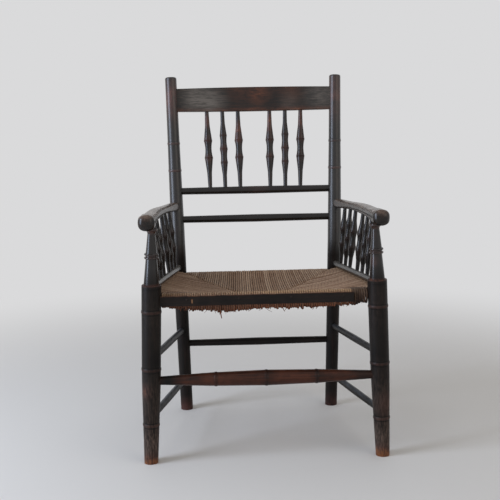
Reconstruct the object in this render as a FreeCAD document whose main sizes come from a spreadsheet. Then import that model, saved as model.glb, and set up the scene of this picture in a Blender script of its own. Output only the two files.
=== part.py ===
import FreeCAD, Part
import math
import os
from types import SimpleNamespace

import Sketcher
from FreeCAD import Placement, Rotation, Vector

# Rush-seated armchair of turned wood.
# Frame: X to the sitter's left-hand side seen from the front, Y to the back, Z up, floor at Z = 0.
# Lengths are in millimetres and angles in degrees.

SIZES = {
    # Whole chair
    "overall_height": 850.0,
    "overall_depth": 438.0,
    "front_foot_spread": 514.0,
    "front_post_splay": 2.0,
    "back_foot_spread": 377.0,
    "back_post_splay": 1.15,
    "back_post_kick": 1.8,
    "back_post_rake": 6.0,
    "back_bend_height": 440.0,
    "back_bend_radius": 400.0,
    # Fits
    "joint_clearance": 0.15,
    "mortise_relief": 0.5,
    "tenon_show": 1.5,
    "tenon_core": 4.0,
    "seat_tenon_core": 8.6,
    "foot_trim": 4.0,
    # Front posts, heights above the floor
    "front_foot_radius": 15.2,
    "foot_ring_height": 88.0,
    "foot_ring_radius": 17.8,
    "calf_radius": 19.7,
    "calf_height": 150.0,
    "knee_ring_height": 213.0,
    "knee_ring_radius": 20.8,
    "thigh_ring_height": 340.0,
    "front_leg_radius": 21.2,
    "ring_width": 8.0,
    "ring_rise": 1.0,
    "shoulder_height": 399.0,
    "shoulder_chamfer": 1.6,
    "support_foot_radius": 16.6,
    "support_ring_offset": 7.5,
    "support_waist_radius": 12.2,
    "support_ring_radius": 15.4,
    "support_ring_width": 4.5,
    "support_ring_gap": 3.0,
    "support_ring_round": 1.4,
    "support_neck_radius": 8.3,
    "support_neck_drop": 12.0,
    "collar_radius": 13.0,
    "collar_edge": 4.5,
    "collar_drop": 13.5,
    "post_tenon_radius": 6.0,
    "post_tenon_length": 15.0,
    # Back posts
    "back_foot_radius": 15.4,
    "back_post_radius": 17.0,
    "back_lower_ring_drop": 231.0,
    "back_lower_ring_radius": 15.7,
    "back_upper_ring_drop": 164.0,
    "back_upper_ring_radius": 15.0,
    "back_top_radius": 14.2,
    "back_top_round": 4.0,
    # Crest rail and back rails
    "crest_drop": 86.0,
    "crest_width": 56.5,
    "crest_thickness": 15.0,
    "crest_bow": 16.0,
    "crest_camber": 4.0,
    "crest_edge": 2.6,
    "crest_shoulder": 9.0,
    "crest_tenon_width": 40.0,
    "crest_tenon_thickness": 8.0,
    "upper_back_rail_height": 567.0,
    "lower_back_rail_height": 496.5,
    "back_rail_end_radius": 8.5,
    "back_rail_middle_radius": 9.6,
    # Spindles of the back
    "back_spindle_top_spread": 158.4,
    "back_spindle_top_pitch": 39.1,
    "back_spindle_foot_spread": 151.0,
    "back_spindle_foot_pitch": 37.8,
    "spindle_end_radius": 4.9,
    "spindle_node_radius": 10.0,
    "spindle_waist_radius": 7.9,
    "spindle_bead_width": 2.6,
    "spindle_bead_rise": 0.6,
    "spindle_hollow": 1.4,
    "spindle_node_pitch": 43.0,
    "middle_node_radius": 9.5,
    "middle_ring_radius": 8.6,
    "middle_ring_pitch": 68.0,
    "crest_spindle_depth": 12.0,
    # Arms
    "arm_overhang": 34.0,
    "arm_outset": 9.0,
    "arm_height": 530.5,
    "arm_middle_rise": 5.0,
    "arm_front_rise": 3.0,
    "arm_knob_rise": 3.5,
    "arm_back_width": 21.0,
    "arm_front_width": 37.0,
    "arm_nose_width": 31.0,
    "arm_back_thickness": 18.0,
    "arm_middle_thickness": 21.0,
    "arm_front_thickness": 30.0,
    "arm_knob_thickness": 34.5,
    "arm_nose_thickness": 29.0,
    "arm_knob_reach": 17.0,
    "arm_nose_round": 9.0,
    "arm_nose_flat": 0.8,
    "arm_back_round": 5.5,
    "arm_front_round": 8.0,
    "arm_crown": 16.0,
    "arm_flank": 12.0,
    "arm_tenon_radius": 6.5,
    # Arm rails and arm spindles
    "arm_rail_front_height": 390.3,
    "arm_rail_back_height": 376.8,
    "arm_rail_radius": 7.6,
    "arm_first_spindle": 72.0,
    "arm_last_spindle": 61.5,
    "arm_group_gap": 58.0,
    "arm_spindle_end_radius": 4.4,
    "arm_node_radius": 8.9,
    "arm_waist_radius": 7.1,
    "arm_node_pitch": 37.0,
    "arm_ring_radius": 7.8,
    "arm_ring_pitch": 60.0,
    # Seat frame and rush
    "front_rail_setback": 6.0,
    "front_rail_height": 366.0,
    "back_rail_height": 351.0,
    "side_rail_rise": 4.0,
    "seat_rail_radius": 8.5,
    "seat_tenon_radius": 6.5,
    "rush_wrap": 3.5,
    "rush_clearance": 0.3,
    "rush_half_thickness": 7.0,
    "rush_sag": 24.0,
    "rush_belly": 30.0,
    "rush_edge_sag": 4.0,
    # Strips over the rush and their pins
    "strip_width": 22.0,
    "strip_drop": 3.5,
    "strip_thickness": 3.5,
    "strip_lost_end": 32.0,
    "pin_radius": 0.8,
    "pin_length": 13.0,
    "pin_head_radius": 2.2,
    "pin_head_rise": 0.9,
    "front_pin_spacing": 112.0,
    "side_pin_spacing": 90.0,
    # Stretchers
    "front_stretcher_height": 185.8,
    "front_stretcher_end_radius": 9.4,
    "front_stretcher_side_radius": 15.0,
    "front_stretcher_middle_radius": 17.0,
    "front_stretcher_ring_place": 110.0,
    "back_stretcher_height": 176.5,
    "back_stretcher_end_radius": 8.2,
    "back_stretcher_middle_radius": 9.6,
    "side_upper_front_height": 233.5,
    "side_upper_back_height": 212.5,
    "side_lower_front_height": 102.5,
    "side_lower_back_height": 82.0,
    "side_stretcher_end_radius": 7.3,
    "side_stretcher_middle_radius": 8.2,
}

doc = FreeCAD.newDocument("RushArmchair")
sheet = doc.addObject("Spreadsheet::Sheet", "dim")
sheet.Label = "Sizes"


class Size:
    """A number together with the sheet formula that gives it."""

    def __init__(self, value, formula):
        self.value = value
        self.formula = formula

    def combine(self, other, sign, result):
        text = other.formula if isinstance(other, Size) else repr(float(other))
        return Size(result, "({} {} {})".format(self.formula, sign, text))

    def __add__(self, other):
        return self.combine(other, "+", self.value + number(other))

    def __sub__(self, other):
        return self.combine(other, "-", self.value - number(other))

    def __mul__(self, other):
        return self.combine(other, "*", self.value * number(other))

    def __truediv__(self, other):
        return self.combine(other, "/", self.value / number(other))


def number(item):
    return item.value if isinstance(item, Size) else float(item)


d = SimpleNamespace()


def cell(alias, value):
    """Write one named value in the next free row of the sheet."""
    row = len(vars(d)) + 1
    sheet.set("A{}".format(row), alias)
    sheet.set("B{}".format(row), repr(round(value, 6)))
    sheet.setAlias("B{}".format(row), alias)
    setattr(d, alias, Size(round(value, 6), "dim.{}".format(alias)))
    return getattr(d, alias)


for alias, value in SIZES.items():
    cell(alias, value)


def bind(item, prop, size):
    item.setExpression(prop, size.formula)


def angle(size):
    return math.radians(size.value)


# Axes of the posts on the right-hand side

FRONT_Y = d.arm_overhang.value - d.overall_depth.value / 2
SPLAY = math.tan(angle(d.front_post_splay))
SPREAD = math.tan(angle(d.back_post_splay))
KICK = math.tan(angle(d.back_post_kick)) / math.cos(angle(d.back_post_splay))
RAKE = math.tan(angle(d.back_post_rake)) / math.cos(angle(d.back_post_splay))
TOP_FLAT = (d.back_top_radius - d.back_top_round).value
TOP_Z = d.overall_height.value - TOP_FLAT * math.sin(angle(d.back_post_rake))
POST_REACH = d.back_top_radius.value * math.cos(angle(d.back_post_rake))
CREST_REACH = ((d.crest_bow + d.crest_thickness / 2).value * math.cos(angle(d.back_post_rake))
               + d.crest_width.value * math.sin(angle(d.back_post_rake))
               - RAKE * (TOP_Z - (d.overall_height - d.crest_drop).value))
BACK_TOP_Y = d.overall_depth.value / 2 - max(POST_REACH, CREST_REACH)
BEND_Y = BACK_TOP_Y - RAKE * (TOP_Z - d.back_bend_height.value)


def front_axis(height):
    return Vector(d.front_foot_spread.value / 2 - SPLAY * height, FRONT_Y, height)


def back_axis(height):
    above = height - d.back_bend_height.value
    slope = RAKE if above > 0 else -KICK
    return Vector(d.back_foot_spread.value / 2 + SPREAD * height, BEND_Y + slope * above, height)


def mirrored(point):
    return Vector(-point.x, point.y, point.z)


def aim(start, direction):
    """Placement with its local Z along a direction."""
    return Placement(start, Rotation(Vector(0, 0, 1), direction))


# Outlines, turnings and bores

ZERO = Size(0.0, "0.0")


def place_point(sketch, geo, pos, corner):
    """Hold a sketch point at its two coordinates."""
    for axis, kind, size in ((-2, "DistanceX", corner[0]), (-1, "DistanceY", corner[1])):
        if abs(size.value) < 1e-9:
            sketch.addConstraint(Sketcher.Constraint("PointOnObject", geo, pos, axis))
        else:
            made = sketch.addConstraint(Sketcher.Constraint(kind, -1, 1, geo, pos, size.value))
            bind(sketch, "Constraints[{}]".format(made), size)


def spot(corner):
    return Vector(corner[0].value, corner[1].value, 0)


def outline(sketch, corners):
    """Closed outline through corners, each reached by a line or by an arc over a crown point."""
    runs = []
    for last, corner in zip(corners[-1:] + corners[:-1], corners):
        if len(corner) == 3:
            geo = sketch.addGeometry(Part.Arc(spot(last), spot(corner[2]), spot(corner)))
            crown = sketch.addGeometry(Part.Point(spot(corner[2])), True)
            place_point(sketch, crown, 1, corner[2])
            sketch.addConstraint(Sketcher.Constraint("PointOnObject", crown, 1, geo))
        else:
            geo = sketch.addGeometry(Part.LineSegment(spot(last), spot(corner)))
        first = sketch.getPoint(geo, 1)
        flipped = (first - spot(corner)).Length < (first - spot(last)).Length
        runs.append((geo, 2, 1) if flipped else (geo, 1, 2))
    for (geo, _, end), (following, begin, _), corner in zip(runs, runs[1:] + runs[:1], corners):
        sketch.addConstraint(Sketcher.Constraint("Coincident", geo, end, following, begin))
        place_point(sketch, geo, end, corner)


def plane(body, role):
    return next(item for item in body.Origin.OriginFeatures if item.Role == role)


def new_sketch(body, name, role, offset=Placement()):
    sketch = body.newObject("Sketcher::SketchObject", name)
    sketch.AttachmentSupport = [(plane(body, role), "")]
    sketch.MapMode = "FlatFace"
    sketch.AttachmentOffset = offset
    return sketch


def revolve(body, name, corners, offset=Placement()):
    """Turn a half outline about the local Z of its sketch."""
    sketch = new_sketch(body, name + "_outline", "YZ_Plane", offset)
    outline(sketch, [(ZERO, corners[0][1])] + corners + [(ZERO, corners[-1][1])])
    turning = body.newObject("PartDesign::Revolution", name)
    turning.Profile = sketch
    turning.ReferenceAxis = (sketch, ["V_Axis"])
    turning.Angle = 360
    return turning


def new_body(name, placement):
    body = doc.addObject("PartDesign::Body", name)
    body.Placement = placement
    return body


def turned(name, corners, placement):
    body = new_body(name, placement)
    revolve(body, name + "_turning", corners)
    return body


def ring(height, radius, width, rise):
    """Two corners of a rounded ring on a turning."""
    low, high = height - width / 2, height + width / 2
    return [(radius, low), (radius, high, (radius + rise, height))]


bores = {}


def bore(host, start, direction, radius, depth):
    """Round mortise cut into a host from a start point along a direction."""
    tool = doc.addObject("Part::Cylinder", "bore")
    bind(tool, "Radius", radius)
    bind(tool, "Height", depth)
    tool.Placement = aim(start, direction)
    bores.setdefault(host, []).append(tool)
    return tool


def mortise(host, end, inward, radius, depth):
    """Mortise for a round tenon whose end lies at a point, open towards the host's surface."""
    bore(host, end - inward * d.mortise_relief.value, inward,
         radius + d.joint_clearance, depth + d.mortise_relief)


def gather(name, items):
    if len(items) == 1:
        return items[0]
    group = doc.addObject("Part::MultiFuse", name)
    group.Shapes = items
    return group


nodes = []


def keep(item, label):
    """Name a finished piece."""
    item.Label = label
    nodes.append(item)
    return item


def finish(item, label, extra=()):
    """Cut a piece's mortises and name the result."""
    tools = bores.pop(label, []) + list(extra)
    if tools:
        cut = doc.addObject("Part::Cut", label)
        cut.Base = item
        cut.Tool = gather(label + "_cuts", tools)
        item = cut
    return keep(item, label)


def mirror(item, label):
    """Left-hand twin of a right-hand piece."""
    twin = doc.addObject("Part::Mirroring", label)
    twin.Source = item
    twin.Normal = Vector(1, 0, 0)
    return keep(twin, label)


def floor_cut():
    """Block below the floor that levels a foot."""
    block = doc.addObject("Part::Box", "floor")
    bind(block, "Length", d.front_foot_spread * 2)
    bind(block, "Width", d.overall_depth * 2)
    bind(block, "Height", d.foot_trim * 3)
    block.Placement = Placement(Vector(-d.front_foot_spread.value, -d.overall_depth.value,
                                       -3 * d.foot_trim.value), Rotation())
    return block


# Rods between two posts

def rod(name, first, second, hosts, radii, post_radii, core, middle=()):
    """Turned rod with a round tenon in a post at each end.

    radii holds the tenon radius and the radius at mid length; middle holds extra corners there.
    """
    direction = (second - first).normalize()
    start, stop = first + direction * core.value, second - direction * core.value
    length = cell(name + "_length", (stop - start).Length)
    corners = [(radii[0], ZERO)]
    necks = [post - core + d.tenon_show for post in post_radii]
    corners.append((radii[0], necks[0]))
    corners += middle(length) if middle else [(radii[1], length / 2)]
    corners += [(radii[0], length - necks[1]), (radii[0], length)]
    body = turned(name + "_rod", corners, aim(start, direction))
    mortise(hosts[0], start, direction, radii[0], post_radii[0] + d.tenon_show)
    if hosts[1] != hosts[0]:
        mortise(hosts[1], stop, -direction, radii[0], post_radii[1] + d.tenon_show)
    return body


def cross_rod(name, axis, height, host, radii, post_radius, core, setback=0.0, middle=()):
    """Rod across the chair from the left post to the right one."""
    right = axis(height.value) + Vector(0, setback, 0)
    return rod(name, right, mirrored(right), (host, host), radii, (post_radius, post_radius), core, middle)


def side_rod(name, front, back, radii, core):
    """Rod from the right front post to the right back post."""
    return rod(name, front_axis(front.value), back_axis(back.value),
               ("front_post_right", "back_post_right"), radii, (d.front_leg_radius, d.back_post_radius), core)


def stretcher_middle(length):
    """Swell and three rings of the front stretcher."""
    half, place = length / 2, d.front_stretcher_ring_place
    side, centre = d.front_stretcher_side_radius, d.front_stretcher_middle_radius
    return (ring(half - place, side, d.ring_width, d.ring_rise)
            + ring(half, centre, d.ring_width, d.ring_rise)
            + ring(half + place, side, d.ring_width, d.ring_rise))


front_stretcher = cross_rod("front_stretcher", front_axis, d.front_stretcher_height, "front_post_right",
                            (d.front_stretcher_end_radius, d.front_stretcher_middle_radius),
                            d.front_leg_radius, d.tenon_core, middle=stretcher_middle)
finish(front_stretcher, "front_stretcher")
back_stretcher = cross_rod("back_stretcher", back_axis, d.back_stretcher_height, "back_post_right",
                           (d.back_stretcher_end_radius, d.back_stretcher_middle_radius),
                           d.back_post_radius, d.tenon_core)
finish(back_stretcher, "back_stretcher")
for level in ("upper", "lower"):
    front_height = getattr(d, "side_{}_front_height".format(level))
    back_height = getattr(d, "side_{}_back_height".format(level))
    name = "side_stretcher_{}".format(level)
    stretcher = side_rod(name, front_height, back_height,
                         (d.side_stretcher_end_radius, d.side_stretcher_middle_radius), d.tenon_core)
    mirror(finish(stretcher, name + "_right"), name + "_left")

arm_rail = side_rod("arm_rail", d.arm_rail_front_height, d.arm_rail_back_height,
                    (d.arm_rail_radius, d.arm_rail_radius), d.tenon_core)
back_rail_radii = (d.back_rail_end_radius, d.back_rail_middle_radius)
upper_back_rail = cross_rod("upper_back_rail", back_axis, d.upper_back_rail_height, "back_post_right",
                            back_rail_radii, d.back_post_radius, d.tenon_core)
lower_back_rail = cross_rod("lower_back_rail", back_axis, d.lower_back_rail_height, "back_post_right",
                            back_rail_radii, d.back_post_radius, d.tenon_core)
finish(lower_back_rail, "lower_back_rail")

# Seat rails inside the rush

seat_radii = (d.seat_tenon_radius, d.seat_rail_radius)


def seat_middle(length):
    """Parallel run of a seat rail."""
    taper = d.front_leg_radius + d.seat_rail_radius
    return [(d.seat_rail_radius, taper), (d.seat_rail_radius, length - taper)]


front_seat_rail = cross_rod("seat_rail_front", front_axis, d.front_rail_height, "front_post_right",
                            seat_radii, d.front_leg_radius, d.seat_tenon_core,
                            d.front_rail_setback.value, seat_middle)
back_seat_rail = cross_rod("seat_rail_back", back_axis, d.back_rail_height, "back_post_right",
                           seat_radii, d.back_post_radius, d.seat_tenon_core, middle=seat_middle)
side_front = front_axis(d.front_rail_height.value + d.side_rail_rise.value)
side_back = back_axis(d.back_rail_height.value + d.side_rail_rise.value)
side_seat_rail = rod("seat_rail_side", side_front, side_back, ("front_post_right", "back_post_right"),
                     seat_radii, (d.front_leg_radius, d.back_post_radius), d.seat_tenon_core, seat_middle)

# Runs of the back posts above and below their bend

bend_point = back_axis(d.back_bend_height.value)
back_up = (back_axis(TOP_Z) - bend_point).normalize()
back_down = (back_axis(0.0) - bend_point).normalize()
front_up = (front_axis(d.overall_height.value) - front_axis(0.0)).normalize()
BEND = d.back_post_kick.value + d.back_post_rake.value
TANGENT = d.back_bend_radius.value * math.tan(math.radians(BEND) / 2)
upper_start = bend_point + back_up * TANGENT
lower_start = back_axis(0.0) + back_down * d.foot_trim.value
front_start = front_axis(0.0) - front_up * d.foot_trim.value
lower_run = cell("back_lower_run", (bend_point + back_down * TANGENT - lower_start).Length)
upper_run = cell("back_upper_run", (back_axis(TOP_Z) - upper_start).Length)
lower_ring_point = back_axis((d.overall_height - d.back_lower_ring_drop).value)
upper_ring_point = back_axis((d.overall_height - d.back_upper_ring_drop).value)
lower_ring = cell("back_lower_ring_run", (lower_ring_point - upper_start).Length)
upper_ring = cell("back_upper_ring_run", (upper_ring_point - upper_start).Length)


def sheath(name, radii, height, placement, gap):
    """Conical room that a tapered run of a post takes in its neighbours."""
    cone = doc.addObject("Part::Cone", name)
    bind(cone, "Radius1", radii[0] + gap)
    bind(cone, "Radius2", radii[1] + gap)
    bind(cone, "Height", height)
    cone.Placement = placement
    return cone


def both_sides(item):
    """A tool and its mirror image."""
    twin = doc.addObject("Part::Mirroring", "twin")
    twin.Source = item
    twin.Normal = Vector(1, 0, 0)
    return [item, twin]


# Crest rail: a bowed and cambered board, let into the posts, with a flat tenon at each end

crest_foot = back_axis((d.overall_height - d.crest_drop).value)
crest_half = cell("crest_half_span", crest_foot.x) - d.crest_shoulder
crest_frame = Placement(Vector(0, crest_foot.y, crest_foot.z),
                        Rotation(Vector(1, 0, 0), -d.back_post_rake.value))


def crest_board():
    board = new_body("crest_board", crest_frame)
    plan = new_sketch(board, "crest_plan", "XY_Plane")
    left, front, back = ZERO - crest_half, ZERO - d.crest_thickness / 2, d.crest_thickness / 2
    outline(plan, [(crest_half, back), (left, back, (ZERO, d.crest_bow + back)),
                   (left, front), (crest_half, front, (ZERO, d.crest_bow + front))])
    pad = board.newObject("PartDesign::Pad", "crest_pad")
    pad.Profile = plan
    bind(pad, "Length", d.crest_width + d.crest_camber)
    top = new_sketch(board, "crest_top", "XZ_Plane")
    lift = d.crest_width + d.crest_camber * 2
    outline(top, [(crest_half, lift), (left, lift), (left, d.crest_width),
                  (crest_half, d.crest_width, (ZERO, d.crest_width + d.crest_camber * 0.999))])
    camber = board.newObject("PartDesign::Pocket", "crest_camber")
    camber.Profile = top
    camber.Type = "ThroughAll"
    camber.Midplane = True
    doc.recompute()
    long_edges = ["Edge{}".format(place) for place, edge in enumerate(camber.Shape.Edges, 1)
                  if edge.Length > crest_half.value]
    rounding = board.newObject("PartDesign::Fillet", "crest_rounding")
    rounding.Base = (camber, long_edges)
    bind(rounding, "Radius", d.crest_edge)
    return board


def crest_tenon(name, gap, relief):
    """Flat tenon of the right-hand end, or the mortise for it."""
    block = doc.addObject("Part::Box", name)
    bind(block, "Length", d.tenon_show + d.crest_shoulder + d.tenon_core + relief)
    bind(block, "Width", d.crest_tenon_thickness + gap * 2)
    bind(block, "Height", d.crest_tenon_width + gap * 2)
    start = Vector((crest_half - d.tenon_show).value,
                   -d.crest_tenon_thickness.value / 2 - number(gap),
                   (d.crest_width - d.crest_tenon_width).value / 2 - number(gap))
    block.Placement = crest_frame.multiply(Placement(start, Rotation()))
    return block


def crest_housing():
    """Shallow room in the right-hand post for the square end of the board, turned as its bow is."""
    block = doc.addObject("Part::Box", "crest_housing")
    width = d.crest_thickness + d.joint_clearance * 2
    skew = d.crest_thickness * d.crest_bow / crest_half
    bind(block, "Length", d.back_post_radius + skew + d.mortise_relief)
    bind(block, "Width", width)
    bind(block, "Height", d.crest_width + d.joint_clearance * 3)
    turn = math.degrees(math.atan(2 * d.crest_bow.value / crest_half.value))
    seat = Placement(Vector(crest_half.value, 0, -d.joint_clearance.value), Rotation(Vector(0, 0, 1), -turn))
    corner = Vector(-d.back_post_radius.value, -width.value / 2, 0)
    block.Placement = crest_frame.multiply(seat).multiply(Placement(corner, Rotation()))
    return block


crest = crest_board()
crest_tenons = both_sides(crest_tenon("crest_tenon", ZERO, ZERO))
bores.setdefault("back_post_right", []).extend(
    [crest_tenon("crest_mortise", d.joint_clearance, d.mortise_relief), crest_housing()])

# Back spindles in two groups of three


def beads(height, radius, reach=()):
    """Corners of two beads side by side on a spindle; reach holds the crown of the arc that leads to them."""
    width, crown = d.spindle_bead_width, radius + d.spindle_bead_rise
    return [(radius, height - width, *reach), (radius, height, (crown, height - width / 2)),
            (radius, height + width, (crown, height + width / 2))]


def outer_middle(middle, radii, pitch):
    """Two beaded nodes with a waist between them."""
    node, waist = radii
    return beads(middle - pitch / 2, node) + beads(middle + pitch / 2, node, ((waist, middle),))


def centre_middle(middle, radii, pitch):
    """A beaded middle node between two smaller ones, with a waist on each side."""
    outer, waist, node = radii
    return (beads(middle - pitch / 2, outer) + beads(middle, node, ((waist, middle - pitch / 4),))
            + beads(middle + pitch / 2, outer, ((waist, middle + pitch / 4),)))


def hollow(first, second):
    """Corner half way down a hollow taper between two corners."""
    return (first[0] + second[0]) / 2 - d.spindle_hollow, (first[1] + second[1]) / 2


def spindle(name, foot, top, end_radius, foot_depth, top_depth, shape):
    """Turned spindle whose ends are round tenons; shape gives the corners about its visible middle."""
    length = cell(name + "_length", (top - foot).Length)
    low, high = foot_depth + d.tenon_show, length - top_depth - d.tenon_show
    foot_neck, top_neck, middle = (end_radius, low), (end_radius, high), shape((low + high) / 2)
    corners = [(end_radius, ZERO), foot_neck, hollow(foot_neck, middle[0]), *middle,
               hollow(middle[-1], top_neck), top_neck, (end_radius, length)]
    return turned(name + "_rod", corners, aim(foot, top - foot))


def spindle_mortises(hosts, foot, top, end_radius, foot_depth, top_depth):
    up = (top - foot).normalize()
    mortise(hosts[0], foot, up, end_radius, foot_depth + d.tenon_show)
    mortise(hosts[1], top, -up, end_radius, top_depth + d.tenon_show)


def back_shape(place):
    if place == 1:
        return lambda middle: centre_middle(
            middle, (d.middle_ring_radius, d.spindle_waist_radius, d.middle_node_radius),
            d.middle_ring_pitch)
    return lambda middle: outer_middle(
        middle, (d.spindle_node_radius, d.spindle_waist_radius), d.spindle_node_pitch)


def arm_shape(place):
    if place == 1:
        return lambda middle: centre_middle(
            middle, (d.arm_ring_radius, d.arm_waist_radius, d.arm_node_radius),
            d.arm_ring_pitch)
    return lambda middle: outer_middle(middle, (d.arm_node_radius, d.arm_waist_radius), d.arm_node_pitch)


crest_arc = (crest_half.value ** 2 + d.crest_bow.value ** 2) / (2 * d.crest_bow.value)
for place in range(3):
    out = d.back_spindle_top_spread.value / 2 + (place - 1) * d.back_spindle_top_pitch.value
    bow = d.crest_bow.value - crest_arc + math.sqrt(crest_arc ** 2 - out ** 2)
    top = crest_frame.multVec(Vector(out, bow, d.crest_spindle_depth.value))
    foot = back_axis(d.upper_back_rail_height.value)
    foot.x = d.back_spindle_foot_spread.value / 2 + (place - 1) * d.back_spindle_foot_pitch.value
    name = "back_spindle_{}".format(place + 1)
    ends = (d.spindle_end_radius, d.back_rail_middle_radius, d.crest_spindle_depth)
    body = spindle(name, foot, top, *ends, back_shape(place))
    mirror(finish(body, name + "_right"), name + "_left")
    for side in (lambda point: point, mirrored):
        spindle_mortises(("upper_back_rail", "crest_rail"), side(foot), side(top), *ends)
finish(upper_back_rail, "upper_back_rail")

crest_cut = doc.addObject("Part::Cut", "crest_cut")
crest_cut.Base = crest
crest_cut.Tool = gather("crest_cuts", bores.pop("crest_rail"))
keep(gather("crest_rail", [crest_cut] + crest_tenons), "crest_rail")

# Arms: bowed outwards in plan, with a down-turned knob in front of the post

arm_back = back_axis(d.arm_height.value)
arm_run = cell("arm_run", arm_back.y - FRONT_Y)
arm_root = cell("arm_root", arm_back.x)
arm_front_height = d.arm_height + d.arm_front_rise
arm_knob_height = d.arm_height + d.arm_knob_rise
arm_side = cell("arm_side", front_axis(arm_front_height.value).x + d.arm_outset.value)
collar_top = arm_front_height - d.collar_drop
collar_point = front_start + front_up * (collar_top + d.foot_trim).value


def arm_station(share):
    """Centre, width, thickness and edge rounding at a share of the arm's run from back post to front post."""
    bow = arm_root + (arm_side - arm_root) * (1 - (1 - share) ** 2)
    width = d.arm_back_width + (d.arm_front_width - d.arm_back_width) * share
    if share < 0.5:
        height = d.arm_height + d.arm_middle_rise * (share * 2)
        thick = d.arm_back_thickness + (d.arm_middle_thickness - d.arm_back_thickness) * (share * 2)
    else:
        late = (share * 2 - 1) ** 2
        height = d.arm_height + d.arm_middle_rise + (d.arm_front_rise - d.arm_middle_rise) * late
        thick = d.arm_middle_thickness + (d.arm_front_thickness - d.arm_middle_thickness) * late
    return bow, height, width, thick, d.arm_back_round + (d.arm_front_round - d.arm_back_round) * share


def arm_section(body, name, place, station):
    """Section of the arm: crowned top and flanks that run tangent into rounded edges."""
    centre, height, width, thick, edge = station
    sketch = new_sketch(body, name, "XZ_Plane", Placement(Vector(0, 0, place.value), Rotation()))
    bind(sketch, "AttachmentOffset.Base.z", place)
    crown, flank = angle(d.arm_crown), angle(d.arm_flank)
    rise, swell = math.tan(crown / 2), math.tan(flank / 2)
    across = (width / 2 - edge - (thick / 2 - edge) * swell) / (1 - rise * swell)
    upward = thick / 2 - edge - across * rise
    turns = [crown, math.pi / 4 + (crown - flank) / 2, math.pi / 2 - flank]
    near, ease, far = [(across + edge * math.sin(turn), upward + edge * math.cos(turn)) for turn in turns]

    def corner(point, side, level):
        return centre + point[0] * side, height + point[1] * level

    outline(sketch, [
        (*corner(near, 1, 1), (centre, height + thick / 2)), (*corner(far, 1, 1), corner(ease, 1, 1)),
        (*corner(far, 1, -1), (centre + width / 2, height)), (*corner(near, 1, -1), corner(ease, 1, -1)),
        (*corner(near, -1, -1), (centre, height - thick / 2)), (*corner(far, -1, -1), corner(ease, -1, -1)),
        (*corner(far, -1, 1), (centre - width / 2, height)), (*corner(near, -1, 1), corner(ease, -1, 1))])
    return sketch


def arm_blank():
    body = new_body("arm_blank", Placement(Vector(0, arm_back.y, 0), Rotation()))
    stations = [(arm_run * share, arm_station(share)) for share in (0.0, 0.25, 0.5, 0.7, 0.85, 0.95, 1.0)]
    stations.append((arm_run + d.arm_knob_reach,
                     (arm_side, arm_knob_height, d.arm_front_width, d.arm_knob_thickness, d.arm_front_round)))
    stations.append((arm_run + d.arm_overhang,
                     (arm_side, arm_knob_height, d.arm_nose_width, d.arm_nose_thickness,
                      d.arm_nose_round + d.arm_nose_flat)))
    sections = [arm_section(body, "arm_section_{}".format(row), place, station)
                for row, (place, station) in enumerate(stations)]
    loft = body.newObject("PartDesign::AdditiveLoft", "arm_loft")
    loft.Profile = sections[0]
    loft.Sections = sections[1:]
    doc.recompute()
    nose = min(loft.Shape.Faces, key=lambda face: face.CenterOfMass.y)
    rim = ["Edge{}".format(place) for place, edge in enumerate(loft.Shape.Edges, 1)
           if any(edge.isSame(other) for other in nose.Edges)]
    rounding = body.newObject("PartDesign::Fillet", "arm_nose")
    rounding.Base = (loft, rim)
    bind(rounding, "Radius", d.arm_nose_round)
    return body


arm_body = arm_blank()
rail_front, rail_back = front_axis(d.arm_rail_front_height.value), back_axis(d.arm_rail_back_height.value)
rail_run = (rail_back - rail_front).y
spindle_room = rail_run - (d.arm_first_spindle + d.arm_last_spindle + d.arm_group_gap).value
for place in range(6):
    run = d.arm_first_spindle.value + spindle_room / 4 * (place - place // 3)
    run += d.arm_group_gap.value * (place // 3)
    foot = rail_front + (rail_back - rail_front) * (run / rail_run)
    bow, height, _, thick, _ = arm_station(1 - run / arm_run.value)
    top = Vector(bow.value, foot.y, height.value)
    name = "arm_spindle_{}".format(place + 1)
    ends = (d.arm_spindle_end_radius, d.arm_rail_radius, thick / 2)
    body = spindle(name, foot, top, *ends, arm_shape(place % 3))
    mirror(finish(body, name + "_right"), name + "_left")
    spindle_mortises(("arm_rail_right", "arm_right"), foot, top, *ends)
mirror(finish(arm_rail, "arm_rail_right"), "arm_rail_left")

bore("arm_right", collar_point, front_up, d.post_tenon_radius + d.joint_clearance,
     d.post_tenon_length + d.mortise_relief)
bore("arm_right", collar_point - front_up * d.collar_edge.value, front_up,
     d.collar_radius + d.joint_clearance, d.collar_edge)
arm_sheath = sheath("arm_sheath", (d.back_post_radius, d.back_lower_ring_radius),
                    lower_ring - d.ring_width / 2, aim(upper_start, back_up), d.joint_clearance)
arm_cut = doc.addObject("Part::Cut", "arm_cut")
arm_cut.Base = arm_body
arm_cut.Tool = gather("arm_cuts", bores.pop("arm_right") + [arm_sheath])
quarter = arm_station(0.25)
arm_ahead = Vector(quarter[0].value, arm_back.y - arm_run.value / 4, quarter[1].value) - arm_back
arm_ahead.normalize()
arm_tenon = doc.addObject("Part::Cylinder", "arm_tenon")
bind(arm_tenon, "Radius", d.arm_tenon_radius)
bind(arm_tenon, "Height", d.back_post_radius * 2 - d.tenon_core)
arm_tenon.Placement = aim(arm_back + arm_ahead * d.tenon_core.value, arm_ahead)
mortise("back_post_right", arm_back + arm_ahead * d.tenon_core.value, arm_ahead, d.arm_tenon_radius,
        d.back_post_radius)
mirror(keep(gather("arm_right", [arm_cut, arm_tenon]), "arm_right"), "arm_left")

# Rush seat: a sleeve round each rail and a sagging pad between them

sleeve_radius = d.seat_rail_radius + d.rush_wrap
front_seat_point = front_axis(d.front_rail_height.value) + Vector(0, d.front_rail_setback.value, 0)
back_seat_point = back_axis(d.back_rail_height.value)


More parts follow.
